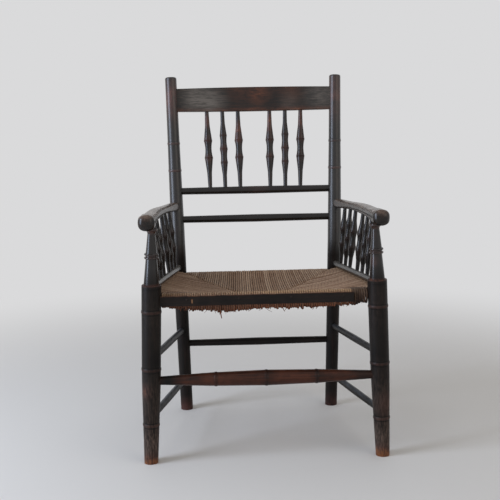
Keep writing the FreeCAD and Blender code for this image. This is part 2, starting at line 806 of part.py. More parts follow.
def tube(name, first, second, radius):
    """Round bar from one point to another."""
    bar = doc.addObject("Part::Cylinder", name)
    bind(bar, "Radius", radius)
    bind(bar, "Height", cell(name + "_run", (second - first).Length))
    bar.Placement = aim(first, second - first)
    return bar


def seat_section(body, name, ahead, middle, half, sag, belly):
    """Section across the pad: flat sides, a dipping top and a hanging underside."""
    sketch = new_sketch(body, name, "XZ_Plane", Placement(Vector(0, 0, ahead.value), Rotation()))
    bind(sketch, "AttachmentOffset.Base.z", ahead)
    top, low = middle + d.rush_half_thickness, middle - d.rush_half_thickness
    outline(sketch, [(half, top), (ZERO - half, top, (ZERO, top - sag)),
                     (ZERO - half, low), (half, low, (ZERO, low - belly))])
    return sketch


def seat_pad():
    body = new_body("seat_pad", Placement(Vector(0, back_seat_point.y, 0), Rotation()))
    depth = cell("seat_run", back_seat_point.y - front_seat_point.y)
    back_half = cell("seat_back_half", back_seat_point.x)
    front_half = cell("seat_front_half", front_seat_point.x)
    sections = [
        seat_section(body, "seat_back", ZERO, d.back_rail_height, back_half, d.rush_edge_sag,
                     d.rush_edge_sag),
        seat_section(body, "seat_middle", depth / 2, (d.back_rail_height + d.front_rail_height) / 2,
                     (back_half + front_half) / 2, d.rush_sag, d.rush_belly),
        seat_section(body, "seat_front", depth, d.front_rail_height, front_half, d.rush_edge_sag,
                     d.rush_edge_sag)]
    loft = body.newObject("PartDesign::AdditiveLoft", "seat_loft")
    loft.Profile = sections[0]
    loft.Sections = sections[1:]
    return body


pad = seat_pad()
rail_room = d.seat_rail_radius + d.rush_clearance
sleeves = [tube("rush_front", front_seat_point, mirrored(front_seat_point), sleeve_radius),
           tube("rush_back", back_seat_point, mirrored(back_seat_point), sleeve_radius)]
sleeves += both_sides(tube("rush_side", side_front, side_back, sleeve_radius))
channels = [tube("room_front", front_seat_point, mirrored(front_seat_point), rail_room),
            tube("room_back", back_seat_point, mirrored(back_seat_point), rail_room)]
channels += both_sides(tube("room_side", side_front, side_back, rail_room))


def post_sheaths(gap):
    """Room for the front and back posts at seat height, on both sides."""
    front = doc.addObject("Part::Cylinder", "front_room")
    bind(front, "Radius", d.front_leg_radius + gap)
    bind(front, "Height", d.shoulder_height + d.foot_trim)
    front.Placement = aim(front_start, front_up)
    back = sheath("back_room", (d.back_foot_radius, d.back_post_radius), lower_run,
                  aim(lower_start, -back_down), gap)
    return both_sides(front) + both_sides(back)


# Strips over the rush edges, and their pins

strip_offset = (sleeve_radius + d.rush_clearance).value
side_along = (side_back - side_front).normalize()
side_out = side_along.cross(Vector(0, 0, 1)).normalize()
side_middle = (side_front + side_back) * 0.5


def strip(name, length, placement):
    """Thin lath: length along local X, outer face towards local -Y, width along local Z."""
    lath = doc.addObject("Part::Box", name)
    bind(lath, "Length", length)
    bind(lath, "Width", d.strip_thickness)
    bind(lath, "Height", d.strip_width)
    lath.Placement = placement
    return lath


def pin(name, face, inward):
    """Small round-headed pin driven from a point on a strip's outer face."""
    tip = face + inward * (d.pin_length - d.joint_clearance).value
    head = d.pin_length + d.pin_head_rise
    crown = (d.pin_head_radius * 0.85, d.pin_length + d.pin_head_rise * 0.7)
    corners = [(d.pin_radius, ZERO), (d.pin_radius, d.pin_length), (d.pin_head_radius, d.pin_length),
               (d.pin_head_radius / 2, head, crown)]
    return turned(name, corners, aim(tip, -inward))


def pin_hole(host, face, inward):
    bore(host, face - inward * d.pin_length.value, inward, d.pin_radius + d.joint_clearance,
         d.pin_length * 2 + d.mortise_relief)


front_face = front_seat_point.y - strip_offset - d.strip_thickness.value
front_room = cell("strip_front_length",
                  front_seat_point.x * 2 - d.front_leg_radius.value - d.strip_lost_end.value)
strip_low = (d.strip_width / 2 + d.strip_drop).value
front_strip = strip("front_lath", front_room,
                    Placement(Vector(-front_seat_point.x, front_face, d.front_rail_height.value - strip_low),
                              Rotation()))
pins = []
for place in range(4):
    face = Vector((place - 1.5) * d.front_pin_spacing.value, front_face, d.front_rail_height.value)
    pins.append(pin("front_pin_{}".format(place + 1), face, Vector(0, 1, 0)))
    for host in ("seat_strip_front", "seat_rail_front", "rush_seat"):
        pin_hole(host, face, Vector(0, 1, 0))

side_up = side_out.cross(side_along)
side_room = cell("strip_side_length", (side_back - side_front).Length)
outer = side_out * (strip_offset + d.strip_thickness.value)
side_strip = strip("side_lath", side_room,
                   Placement(side_front + outer - side_up * strip_low,
                             Rotation(side_along, -side_out, side_up, "XYZ")))
side_pins = []
for place in range(3):
    face = side_middle + outer + side_along * ((place - 1) * d.side_pin_spacing.value)
    side_pins.append(pin("side_pin_{}".format(place + 1), face, -side_out))
    for host in ("seat_strip_right", "seat_rail_right", "rush_seat"):
        pin_hole(host, face, -side_out)
rush_pin_holes = bores.pop("rush_seat")
left_pins = [both_sides(item)[1] for item in side_pins]
rush_left_holes = [both_sides(item)[1] for item in rush_pin_holes[-len(side_pins):]]

rush = gather("rush_body", [pad] + sleeves)
finish(rush, "rush_seat", channels + post_sheaths(d.rush_clearance) + rush_pin_holes + rush_left_holes)
finish(front_strip, "seat_strip_front", post_sheaths(d.rush_clearance))
mirror(finish(side_strip, "seat_strip_right", post_sheaths(d.rush_clearance)), "seat_strip_left")
strip_pins = doc.addObject("Part::Compound", "strip_pins")
strip_pins.Links = pins + side_pins + left_pins
keep(strip_pins, "strip_pins")
finish(front_seat_rail, "seat_rail_front")
finish(back_seat_rail, "seat_rail_back")
mirror(finish(side_seat_rail, "seat_rail_right"), "seat_rail_left")

# Posts


def up(size):
    """Height above the floor measured along a front post from its untrimmed end."""
    return size + d.foot_trim


def support_ring(height):
    """Bold ring of the arm support: a square-sided disc with a rounded rim."""
    low, high = height - d.support_ring_width / 2, height + d.support_ring_width / 2
    rim = d.support_ring_radius - d.support_ring_round
    return [(d.support_waist_radius, low), (rim, low), (rim, high, (d.support_ring_radius, height)),
            (d.support_waist_radius, high)]


def front_post_corners():
    corners = [(d.front_foot_radius, ZERO)]
    corners += ring(up(d.foot_ring_height), d.foot_ring_radius, d.ring_width, d.ring_rise)
    knee = ring(up(d.knee_ring_height), d.knee_ring_radius, d.ring_width, d.ring_rise)
    corners += [knee[0] + ((d.calf_radius, up(d.calf_height)),), knee[1]]
    corners += ring(up(d.thigh_ring_height), d.front_leg_radius, d.ring_width, d.ring_rise)
    shoulder = up(d.shoulder_height)
    corners += [(d.front_leg_radius, shoulder - d.shoulder_chamfer),
                (d.front_leg_radius - d.shoulder_chamfer, shoulder), (d.support_foot_radius, shoulder)]
    gap = (d.support_ring_width + d.support_ring_gap) / 2
    neck, collar = up(collar_top - d.support_neck_drop), up(collar_top)
    middle = (shoulder + neck) / 2 + d.support_ring_offset
    corners += support_ring(middle - gap) + support_ring(middle + gap)
    flare = (d.support_neck_radius + (d.collar_radius - d.support_neck_radius) * 0.35,
             neck + (collar - d.collar_edge - neck) * 0.7)
    corners += [(d.support_neck_radius, neck), (d.collar_radius, collar - d.collar_edge, flare),
                (d.collar_radius, collar), (d.post_tenon_radius, collar),
                (d.post_tenon_radius, collar + d.post_tenon_length)]
    return corners


def back_post_body():
    lean = Rotation(Vector(0, 1, 0), d.back_post_splay.value).multiply(
        Rotation(Vector(1, 0, 0), d.back_post_kick.value))
    body = new_body("back_post_wood", Placement(lower_start, lean))
    revolve(body, "back_leg", [(d.back_foot_radius, ZERO), (d.back_post_radius, lower_run)])
    ring_plan = new_sketch(body, "back_bend_section", "XY_Plane",
                           Placement(Vector(0, 0, lower_run.value), Rotation()))
    bind(ring_plan, "AttachmentOffset.Base.z", lower_run)
    disc = ring_plan.addGeometry(Part.Circle(Vector(), Vector(0, 0, 1), d.back_post_radius.value))
    ring_plan.addConstraint(Sketcher.Constraint("Coincident", disc, 3, -1, 1))
    bind(ring_plan, "Constraints[{}]".format(ring_plan.addConstraint(
        Sketcher.Constraint("Radius", disc, d.back_post_radius.value))), d.back_post_radius)
    reach = Vector(d.back_post_radius.value, 0, 0)
    centre = Vector(0, d.back_bend_radius.value, 0)
    pivot = ring_plan.addGeometry(Part.LineSegment(centre + reach, centre - reach), True)
    for pos, side in ((1, d.back_post_radius), (2, ZERO - d.back_post_radius)):
        place_point(ring_plan, pivot, pos, (side, d.back_bend_radius))
    bend = body.newObject("PartDesign::Revolution", "back_bend")
    bend.Profile = ring_plan
    bend.ReferenceAxis = (ring_plan, ["Axis0"])
    bind(bend, "Angle", d.back_post_kick + d.back_post_rake)
    turn = math.radians(BEND)
    arc_end = Vector(d.back_bend_radius.value * (1 - math.cos(turn)),
                     lower_run.value + d.back_bend_radius.value * math.sin(turn), 0)
    corners = [(d.back_post_radius, ZERO)]
    corners += ring(lower_ring, d.back_lower_ring_radius, d.ring_width, d.ring_rise)
    corners += ring(upper_ring, d.back_upper_ring_radius, d.ring_width, d.ring_rise)
    bulge = 1 - math.sqrt(0.5)
    corners += [(d.back_top_radius, upper_run - d.back_top_round),
                (d.back_top_radius - d.back_top_round, upper_run,
                 (d.back_top_radius - d.back_top_round * bulge, upper_run - d.back_top_round * bulge))]
    revolve(body, "back_upright", corners, Placement(arc_end, Rotation(Vector(0, 0, 1), -BEND)))
    return body


front_post = turned("front_post_wood", front_post_corners(), aim(front_start, front_up))
mirror(finish(front_post, "front_post_right", [floor_cut()]), "front_post_left")
mirror(finish(back_post_body(), "back_post_right", [floor_cut()]), "back_post_left")

# Check and write each piece

doc.recompute()
for item in doc.Objects:
    if "Invalid" in item.State or "Error" in item.State:
        raise RuntimeError("{} does not build: {}".format(item.Label, item.State))
os.makedirs("parts", exist_ok=True)
for node in nodes:
    if node.Shape.isNull() or not node.Shape.isValid() or not node.Shape.Solids:
        raise RuntimeError("{} has no valid solid".format(node.Label))
    node.Shape.exportStep(os.path.join("parts", node.Label + ".step"))
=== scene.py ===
"""Looks of an open armchair of ebonised beech with a rush seat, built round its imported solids."""

import logging
import math
from dataclasses import dataclass, field
from enum import Enum

import bmesh
import bpy
import numpy as np
from mathutils import Matrix, Vector


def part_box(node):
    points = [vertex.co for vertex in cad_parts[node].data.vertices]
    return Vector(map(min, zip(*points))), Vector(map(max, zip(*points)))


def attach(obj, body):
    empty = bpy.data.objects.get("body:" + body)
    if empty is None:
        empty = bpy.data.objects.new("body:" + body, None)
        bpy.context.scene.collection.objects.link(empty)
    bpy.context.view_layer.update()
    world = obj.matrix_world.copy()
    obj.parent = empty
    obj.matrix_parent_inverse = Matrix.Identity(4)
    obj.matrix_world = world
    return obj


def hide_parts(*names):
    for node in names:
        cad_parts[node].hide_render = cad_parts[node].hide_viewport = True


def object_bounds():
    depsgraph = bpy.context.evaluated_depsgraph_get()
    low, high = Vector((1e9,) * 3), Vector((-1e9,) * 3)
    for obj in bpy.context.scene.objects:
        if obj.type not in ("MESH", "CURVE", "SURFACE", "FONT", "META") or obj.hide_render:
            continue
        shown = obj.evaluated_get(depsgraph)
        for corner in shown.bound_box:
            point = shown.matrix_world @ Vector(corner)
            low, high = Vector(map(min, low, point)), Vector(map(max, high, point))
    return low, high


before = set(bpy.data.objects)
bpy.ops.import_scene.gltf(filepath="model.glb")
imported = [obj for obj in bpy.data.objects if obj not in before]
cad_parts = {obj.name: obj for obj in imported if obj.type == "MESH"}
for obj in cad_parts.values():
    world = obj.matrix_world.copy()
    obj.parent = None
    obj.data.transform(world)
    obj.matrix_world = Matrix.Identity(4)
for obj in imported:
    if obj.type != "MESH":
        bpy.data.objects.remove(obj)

CAD_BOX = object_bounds()
LOG = logging.getLogger("armchair")
MM = 0.001
BODY = "root"
Inputs = dict[str | int, object]
Colour = tuple[float, float, float, float]
Point = tuple[float, float, float]
Socket = bpy.types.NodeSocket
Tree = bpy.types.NodeTree


class Axis(Enum):
    """Way that the grain or a measure runs."""

    X = 0
    Y = 1
    Z = 2


class Side(Enum):
    """Rail of the seat that a run of rush is wound over."""

    FRONT = "front"
    BACK = "back"
    LEFT = "left"
    RIGHT = "right"


def linear(code: str) -> Colour:
    """Turns an sRGB hex colour to the linear values that shaders use.

    Args:
        code: Colour such as "#6b5848".

    Returns:
        Linear red, green, blue and an alpha of 1.
    """
    parts = [int(code[place:place + 2], 16) / 255 for place in (1, 3, 5)]
    red, green, blue = (v / 12.92 if v <= 0.04045 else ((v + 0.055) / 1.055) ** 2.4 for v in parts)
    return red, green, blue, 1.0


def add_node(tree: Tree, kind: str, inputs: Inputs | None = None, **settings: object) -> bpy.types.Node:
    """Adds one shader node with its settings, values and links.

    Args:
        tree: Node tree that takes the node.
        kind: Node type without the ShaderNode prefix.
        inputs: Value or output socket for each input, by name or place.
        **settings: Properties of the node.

    Returns:
        The new node.
    """
    node = tree.nodes.new("ShaderNode" + kind)
    for name, value in settings.items():
        setattr(node, name, value)
    for name, value in (inputs or {}).items():
        if isinstance(value, Socket):
            tree.links.new(value, node.inputs[name])
        else:
            node.inputs[name].default_value = value
    return node


def blank_material(name: str) -> tuple[bpy.types.Material, Tree]:
    """Makes an empty node material.

    Args:
        name: Name of the material.

    Returns:
        The material and its node tree.
    """
    material = bpy.data.materials.new(name)
    material.use_nodes = True
    material.node_tree.nodes.clear()
    return material, material.node_tree


def pair(name: str) -> tuple[str, str]:
    """Left and right solids of one name."""
    return name + "_left", name + "_right"


def points_of(node: str) -> np.ndarray:
    """Reads where a solid's vertices are.

    Args:
        node: Name of the solid.

    Returns:
        One row for each vertex.
    """
    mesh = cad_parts[node].data
    flat = np.zeros(len(mesh.vertices) * 3)
    mesh.vertices.foreach_get("co", flat)
    return flat.reshape(-1, 3)


def mark(mesh: bpy.types.Mesh, name: str, values: np.ndarray) -> None:
    """Stores one number for each vertex of a mesh.

    Args:
        mesh: Mesh that takes the numbers.
        name: Name that the shaders read.
        values: One number per vertex.
    """
    layer = mesh.attributes.new(name, "FLOAT", "POINT")
    layer.data.foreach_set("value", np.ascontiguousarray(values, dtype=np.float32))


@dataclass(frozen=True)
class Band:
    """Stretch along one axis where a finish differs.

    Attributes:
        axis: The axis.
        place: Middle of the stretch.
        reach: Distance from the middle at which it has faded out.
        strength: How far the finish differs in the middle.
    """

    axis: Axis
    place: float
    reach: float
    strength: float = 1.0


@dataclass(frozen=True)
class Spot:
    """Round patch where a finish differs.

    Attributes:
        centre: Middle of the patch.
        reach: Distance from the middle at which it has faded out.
        strength: How far the finish differs in the middle.
    """

    centre: Point
    reach: float
    strength: float = 1.0


@dataclass(frozen=True)
class EbonisedBeech:
    """Turned beech, stained black and polished by hand.

    The stain gives a warm near-black and the thin old polish a soft shine. Hands, shoes and cloth have
    rubbed it red-brown on the rings and bare on the feet, and dust has left dark lines beside the rings.

    Attributes:
        name: Name of the material.
        grain: Way that the grain runs.
        stain: Colour of the full stain.
        thin: Colour of the stain where it has gone thin.
        worn: Colour where the stain is rubbed.
        bare: Colour where the stain is gone.
        scuffed: Colour that shoes leave.
        grime_and_shade: Colour of dust and old wax, and of painted shade on the knobs.
        bloom_and_sheen: Colour of a hazy polish, partly a painted sheen.
        top: Colour of upper faces, or nothing: partly dust and sleeve wear, partly a painted highlight of
            the light from above.
        streaks: How far the worn colour shows along the grain.
        rub: How far the swellings of a spindle are rubbed.
        worn_bands: Bands that are rubbed.
        worn_spots: Spots that are rubbed.
        grime_and_shade_bands: Bands that hold dust, and bands of painted shade.
        bloom_and_sheen_spots: Spots of hazy polish, partly a painted sheen.
        scuff_bands: Bands that shoes have kicked.
        roughness: Least and most roughness.
        shine: Specular level of the stain.
        polish: Weight of the wax coat.
        polish_above: Height at which the wax coat begins.
        polish_rough: Roughness of the wax coat.
    """

    name: str
    grain: Axis
    stain: str = "#12100f"
    thin: str = "#1d1916"
    worn: str = "#48302a"
    bare: str = "#74482d"
    scuffed: str = "#68574d"
    grime_and_shade: str = "#0b0908"
    bloom_and_sheen: str = "#655e57"
    top: str = ""
    streaks: float = 0.15
    rub: float = 1.0
    worn_bands: tuple[Band, ...] = ()
    worn_spots: tuple[Spot, ...] = ()
    grime_and_shade_bands: tuple[Band, ...] = ()
    bloom_and_sheen_spots: tuple[Spot, ...] = ()
    scuff_bands: tuple[Band, ...] = ()
    roughness: tuple[float, float] = (0.16, 0.34)
    shine: float = 0.34
    polish: float = 0.0
    polish_above: float = 0.0
    polish_rough: float = 0.2

    # Shoes and dust have worn the wax coat off below the seat. It fades in over a height of 40 mm.
    POLISH_FADE = 40.0 * MM

    # The rays and pores of beech are under 1 mm wide: drawn 3 mm wide so that they show.
    GRAIN_WIDTH = 3.0 * MM
    GRAIN_LENGTH = 90.0 * MM
    CLOUD_SIZE = 45.0 * MM
    SCUFF_WIDTH = 3.5 * MM
    SCUFF_LENGTH = 16.0 * MM

    # Small dents are about 0.1 mm deep, and the grain stands a third as high.
    DENT_SIZE = 9.0 * MM
    DENT_DEPTH = 0.12 * MM
    GRAIN_RELIEF = 0.35

    def make(self) -> bpy.types.Material:
        """Builds the wood's shader.

        Returns:
            The finished material.
        """
        material, tree = blank_material(self.name)
        place = add_node(tree, "TexCoord").outputs["Object"]
        stretch = [1 / self.GRAIN_WIDTH] * 3
        stretch[self.grain.value] = 1 / self.GRAIN_LENGTH
        along = add_node(tree, "Mapping", {"Vector": place, "Scale": stretch}).outputs[0]
        streak = add_node(tree, "TexNoise", {"Vector": along, "Scale": 1.0, "Detail": 5.0,
                                             "Roughness": 0.62}).outputs["Fac"]
        cloud = add_node(tree, "TexNoise", {"Vector": place, "Scale": 1 / self.CLOUD_SIZE, "Detail": 4.0,
                                            "Roughness": 0.6}).outputs["Fac"]
        dent = add_node(tree, "TexNoise", {"Vector": place, "Scale": 1 / self.DENT_SIZE, "Detail": 3.0}
                        ).outputs["Fac"]
        stretch = [1 / self.SCUFF_WIDTH] * 3
        stretch[self.grain.value] = 1 / self.SCUFF_LENGTH
        along = add_node(tree, "Mapping", {"Vector": place, "Scale": stretch}).outputs[0]
        scuff = add_node(tree, "TexNoise", {"Vector": along, "Scale": 1.0, "Detail": 6.0, "Roughness": 0.7}
                         ).outputs["Fac"]
        base = self.colour(tree, place, (streak, cloud, scuff))
        low, high = self.roughness
        rough = add_node(tree, "MapRange", {"Value": scuff, "From Min": 0.3, "From Max": 0.7, "To Min": low,
                                            "To Max": high}).outputs[0]
        height = add_node(tree, "Math", {0: streak, 1: self.GRAIN_RELIEF, 2: dent},
                          operation="MULTIPLY_ADD").outputs[0]
        bump = add_node(tree, "Bump", {"Strength": 0.3, "Distance": self.DENT_DEPTH, "Height": height}
                        ).outputs[0]
        inputs: Inputs = {"Base Color": base, "Roughness": rough, "Normal": bump, "IOR": 1.5,
                          "Specular IOR Level": self.shine}
        if self.polish:
            level = add_node(tree, "SeparateXYZ", {0: place}).outputs[2]
            inputs["Coat Weight"] = add_node(tree, "MapRange", {
                "Value": level, "From Min": self.polish_above, "To Max": self.polish,
                "From Max": self.polish_above + self.POLISH_FADE}).outputs[0]
            inputs["Coat Roughness"] = self.polish_rough
        skin = add_node(tree, "BsdfPrincipled", inputs)
        add_node(tree, "OutputMaterial", {"Surface": skin.outputs[0]})
        return material

    def colour(self, tree: Tree, place: Socket, noises: tuple[Socket, Socket, Socket]) -> Socket:
        """Lays stain, streaks, wear, hazy polish partly painted as sheen, and dust and wax partly painted
        as shade, over each other.

        Args:
            tree: Node tree of the wood.
            place: Position on the chair.
            noises: Streaks along the grain, broad clouds and fine scuffs.

        Returns:
            The colour of the surface.
        """
        streak, cloud, scuff = noises
        mottle = add_node(tree, "MapRange", {"Value": cloud, "From Min": 0.35, "From Max": 0.68}).outputs[0]
        base = add_node(tree, "Mix", {0: mottle, 6: linear(self.stain), 7: linear(self.thin)},
                        data_type="RGBA").outputs[2]
        lines = add_node(tree, "MapRange", {"Value": streak, "From Min": 0.48, "From Max": 0.78,
                                            "To Max": self.streaks}).outputs[0]
        base = add_node(tree, "Mix", {0: lines, 6: base, 7: linear(self.worn)}, data_type="RGBA").outputs[2]
        patch = add_node(tree, "Math", {0: cloud, 1: scuff}, operation="ADD").outputs[0]
        patch = add_node(tree, "MapRange", {"Value": patch, "From Min": 0.75, "From Max": 1.2,
                                            "To Min": 0.15, "To Max": 1.2}).outputs[0]
        rubbed = add_node(tree, "Attribute", attribute_name="rub").outputs["Fac"]
        wear = add_node(tree, "Math", {0: rubbed, 1: self.rub}, operation="MULTIPLY").outputs[0]
        wear = self.gather(tree, place, self.worn_bands + self.worn_spots, wear)
        wear = add_node(tree, "Math", {0: wear, 1: patch}, operation="MULTIPLY").outputs[0]
        base = add_node(tree, "Mix", {0: wear, 6: base, 7: linear(self.worn)}, data_type="RGBA").outputs[2]
        deep = add_node(tree, "MapRange", {"Value": wear, "From Min": 0.7, "From Max": 1.25}).outputs[0]
        base = add_node(tree, "Mix", {0: deep, 6: base, 7: linear(self.bare)}, data_type="RGBA").outputs[2]
        if self.scuff_bands:
            chips = add_node(tree, "MapRange", {"Value": scuff, "From Min": 0.42, "From Max": 0.7,
                                                "To Min": 0.1}).outputs[0]
            zone = self.gather(tree, place, self.scuff_bands, None)
            chips = add_node(tree, "Math", {0: zone, 1: chips}, operation="MULTIPLY").outputs[0]
            base = add_node(tree, "Mix", {0: chips, 6: base, 7: linear(self.scuffed)},
                            data_type="RGBA").outputs[2]
        # Hazy polish along the grain, partly a painted sheen that stands in for the window's reflection.
        if self.bloom_and_sheen_spots:
            haze_and_sheen = self.gather(tree, place, self.bloom_and_sheen_spots, None)
            thick = add_node(tree, "MapRange", {"Value": streak, "From Min": 0.38, "From Max": 0.62,
                                                "To Min": 0.35}).outputs[0]
            haze_and_sheen = add_node(tree, "Math", {0: haze_and_sheen, 1: thick}, operation="MULTIPLY").outputs[0]
            base = add_node(tree, "Mix", {0: haze_and_sheen, 6: base, 7: linear(self.bloom_and_sheen)},
                            data_type="RGBA").outputs[2]
        # Dust and old wax beside the rings, and painted shade where a band darkens the knobs.
        if self.grime_and_shade_bands:
            dust = self.gather(tree, place, self.grime_and_shade_bands, None)
            base = add_node(tree, "Mix", {0: dust, 6: base, 7: linear(self.grime_and_shade)},
                            data_type="RGBA").outputs[2]
        # Upper faces turn towards the top colour: partly wear and dust, partly a painted highlight where
        # light falls from above.
        if self.top:
            facing = add_node(tree, "NewGeometry").outputs["Normal"]
            upward = add_node(tree, "SeparateXYZ", {0: facing}).outputs[2]
            upward = add_node(tree, "MapRange", {"Value": upward, "From Min": 0.15, "From Max": 0.85}
                              ).outputs[0]
            rubbed = add_node(tree, "Math", {0: upward, 1: patch}, operation="MULTIPLY").outputs[0]
            thin = add_node(tree, "MapRange", {"Value": streak, "From Min": 0.36, "From Max": 0.6,
                                               "To Min": 0.45}).outputs[0]
            rubbed = add_node(tree, "Math", {0: rubbed, 1: thin}, operation="MULTIPLY").outputs[0]
            base = add_node(tree, "Mix", {0: rubbed, 6: base, 7: linear(self.top)},
                            data_type="RGBA").outputs[2]
        return base

    @staticmethod
    def gather(tree: Tree, place: Socket, marks: tuple[Band | Spot, ...], total: Socket | None) -> Socket:
        """Adds up how near a point lies to bands and spots.

        Args:
            tree: Node tree of the wood.
            place: Position on the chair.
            marks: The bands and spots.
            total: Amount to start from.

        Returns:
            The sum of their strengths.
        """
        parts = add_node(tree, "SeparateXYZ", {0: place}).outputs
        for item in marks:
            if isinstance(item, Band):
                far = add_node(tree, "Math", {0: parts[item.axis.value], 1: item.place},
                               operation="SUBTRACT").outputs[0]
                far = add_node(tree, "Math", {0: far}, operation="ABSOLUTE").outputs[0]
            else:
                far = add_node(tree, "VectorMath", {0: place, 1: item.centre}, operation="DISTANCE"
                               ).outputs["Value"]
            near = add_node(tree, "MapRange", {"Value": far, "From Max": item.reach,
                                               "To Min": item.strength, "To Max": 0.0},
                            interpolation_type="SMOOTHSTEP").outputs[0]
            total = near if total is None else add_node(tree, "Math", {0: total, 1: near},
                                                        operation="ADD").outputs[0]
        return total


@dataclass(frozen=True)
class TwistedRush:
    """Dried rush leaves twisted into cord by hand.

    It is matt and fibrous, grey-brown with age on top, rubbed to tan over the edges and red-brown
    underneath, where no light has bleached it. The grooves of its twist, its fibres and the flanks of its
    cords are darkened with painted shade.

    Attributes:
        name: Name of the material.
        aged: Colour of the darker cords.
        pale: Colour of the paler cords.
        tan: Colour of rubbed edges, and of a painted highlight on the right of the front edge.
        red: Colour of the underside.
        shade_and_soiling: Colour of painted shade in the grooves and between cords, and of soiling.
    """

    name: str = "twisted_rush"
    aged: str = "#967156"
    pale: str = "#d2b092"
    tan: str = "#c5a079"
    red: str = "#8a4c2e"
    shade_and_soiling: str = "#2a1c14"

    # Two leaves make a cord about 14 mm round and turn once in about 16 mm. Their fibres are about 0.4 mm
    # apart and are drawn at 0.8 mm, so that they show.
    LEAVES = 2
    TWIST = 16.0 * MM
    CORD_ROUND = 14.4 * MM
    FIBRE = 0.8 * MM
    FIBRE_LENGTH = 9.6 * MM
    FLECK = 18.0 * MM
    GROOVE_DEPTH = 0.6 * MM
    FIBRE_RELIEF = 0.5

    # How far flecks disturb the twist, and how far a cord's own shade shifts its twist and its fibres.
    UNEVEN = 2.4
    TWIST_SHIFT = 40.0
    FIBRE_SHIFT = 90.0

    def make(self) -> bpy.types.Material:
        """Builds the rush's shader from the marks on the cords.

        Returns:
            The finished material.
        """
        material, tree = blank_material(self.name)
        place = add_node(tree, "TexCoord").outputs["Object"]
        run, turn, shade, under, worn, dirt = (
            add_node(tree, "Attribute", attribute_name=name).outputs["Fac"]
            for name in ("run", "turn", "shade", "under", "worn", "dirt"))
        period = 2.0 * self.LEAVES
        lay = add_node(tree, "Math", {0: run, 1: period / self.TWIST}, operation="MULTIPLY").outputs[0]
        lay = add_node(tree, "Math", {0: turn, 1: period, 2: lay}, operation="MULTIPLY_ADD").outputs[0]
        lay = add_node(tree, "Math", {0: shade, 1: self.TWIST_SHIFT, 2: lay},
                       operation="MULTIPLY_ADD").outputs[0]
        fleck = add_node(tree, "TexNoise", {"Vector": place, "Scale": 1 / self.FLECK, "Detail": 4.0,
                                            "Roughness": 0.65}).outputs["Fac"]
        lay = add_node(tree, "Math", {0: fleck, 1: self.UNEVEN, 2: lay},
                       operation="MULTIPLY_ADD").outputs[0]
        groove = add_node(tree, "Math", {0: lay, 1: 1.0}, operation="PINGPONG").outputs[0]
        streak = add_node(tree, "CombineXYZ", {
            0: add_node(tree, "Math", {0: run, 1: 1 / self.FIBRE_LENGTH}, operation="MULTIPLY").outputs[0],
            1: add_node(tree, "Math", {0: lay, 1: self.CORD_ROUND / (period * self.FIBRE)},
                        operation="MULTIPLY").outputs[0],
            2: add_node(tree, "Math", {0: shade, 1: self.FIBRE_SHIFT}, operation="MULTIPLY").outputs[0]
        }).outputs[0]
        fibre = add_node(tree, "TexNoise", {"Vector": streak, "Scale": 1.0, "Detail": 4.0}).outputs["Fac"]
        tone = add_node(tree, "Math", {0: shade, 1: fleck}, operation="ADD").outputs[0]
        tone = add_node(tree, "MapRange", {"Value": tone, "From Min": 0.45, "From Max": 1.5}).outputs[0]
        base = add_node(tree, "Mix", {0: tone, 6: linear(self.aged), 7: linear(self.pale)},
                        data_type="RGBA").outputs[2]
        base = add_node(tree, "Mix", {0: worn, 6: base, 7: linear(self.tan)}, data_type="RGBA").outputs[2]
        base = add_node(tree, "Mix", {0: under, 6: base, 7: linear(self.red)}, data_type="RGBA").outputs[2]
        # Painted shade: the twist's grooves and the hollows between the fibres, where the bump sinks, take
        # the darker colour.
        dark = add_node(tree, "MapRange", {"Value": groove, "From Max": 0.4, "To Min": 0.55, "To Max": 0.0}
                        ).outputs[0]
        base = add_node(tree, "Mix", {0: dark, 6: base, 7: linear(self.shade_and_soiling)}, data_type="RGBA").outputs[2]
        dull = add_node(tree, "MapRange", {"Value": fibre, "From Min": 0.3, "From Max": 0.7, "To Min": 0.35,
                                           "To Max": 0.0}).outputs[0]
        base = add_node(tree, "Mix", {0: dull, 6: base, 7: linear(self.shade_and_soiling)}, data_type="RGBA").outputs[2]
        # This mark holds soiling, darker cords below the seat and on the left, and painted shade on the
        # cords' flanks.
        base = add_node(tree, "Mix", {0: dirt, 6: base, 7: linear(self.shade_and_soiling)}, data_type="RGBA").outputs[2]
        height = add_node(tree, "Math", {0: fibre, 1: self.FIBRE_RELIEF, 2: groove},
                          operation="MULTIPLY_ADD").outputs[0]
        bump = add_node(tree, "Bump", {"Strength": 0.7, "Distance": self.GROOVE_DEPTH, "Height": height}
                        ).outputs[0]
        skin = add_node(tree, "BsdfPrincipled", {"Base Color": base, "Roughness": 0.7, "Normal": bump,
                                                 "IOR": 1.45, "Specular IOR Level": 0.3})
        add_node(tree, "OutputMaterial", {"Surface": skin.outputs[0]})
        return material


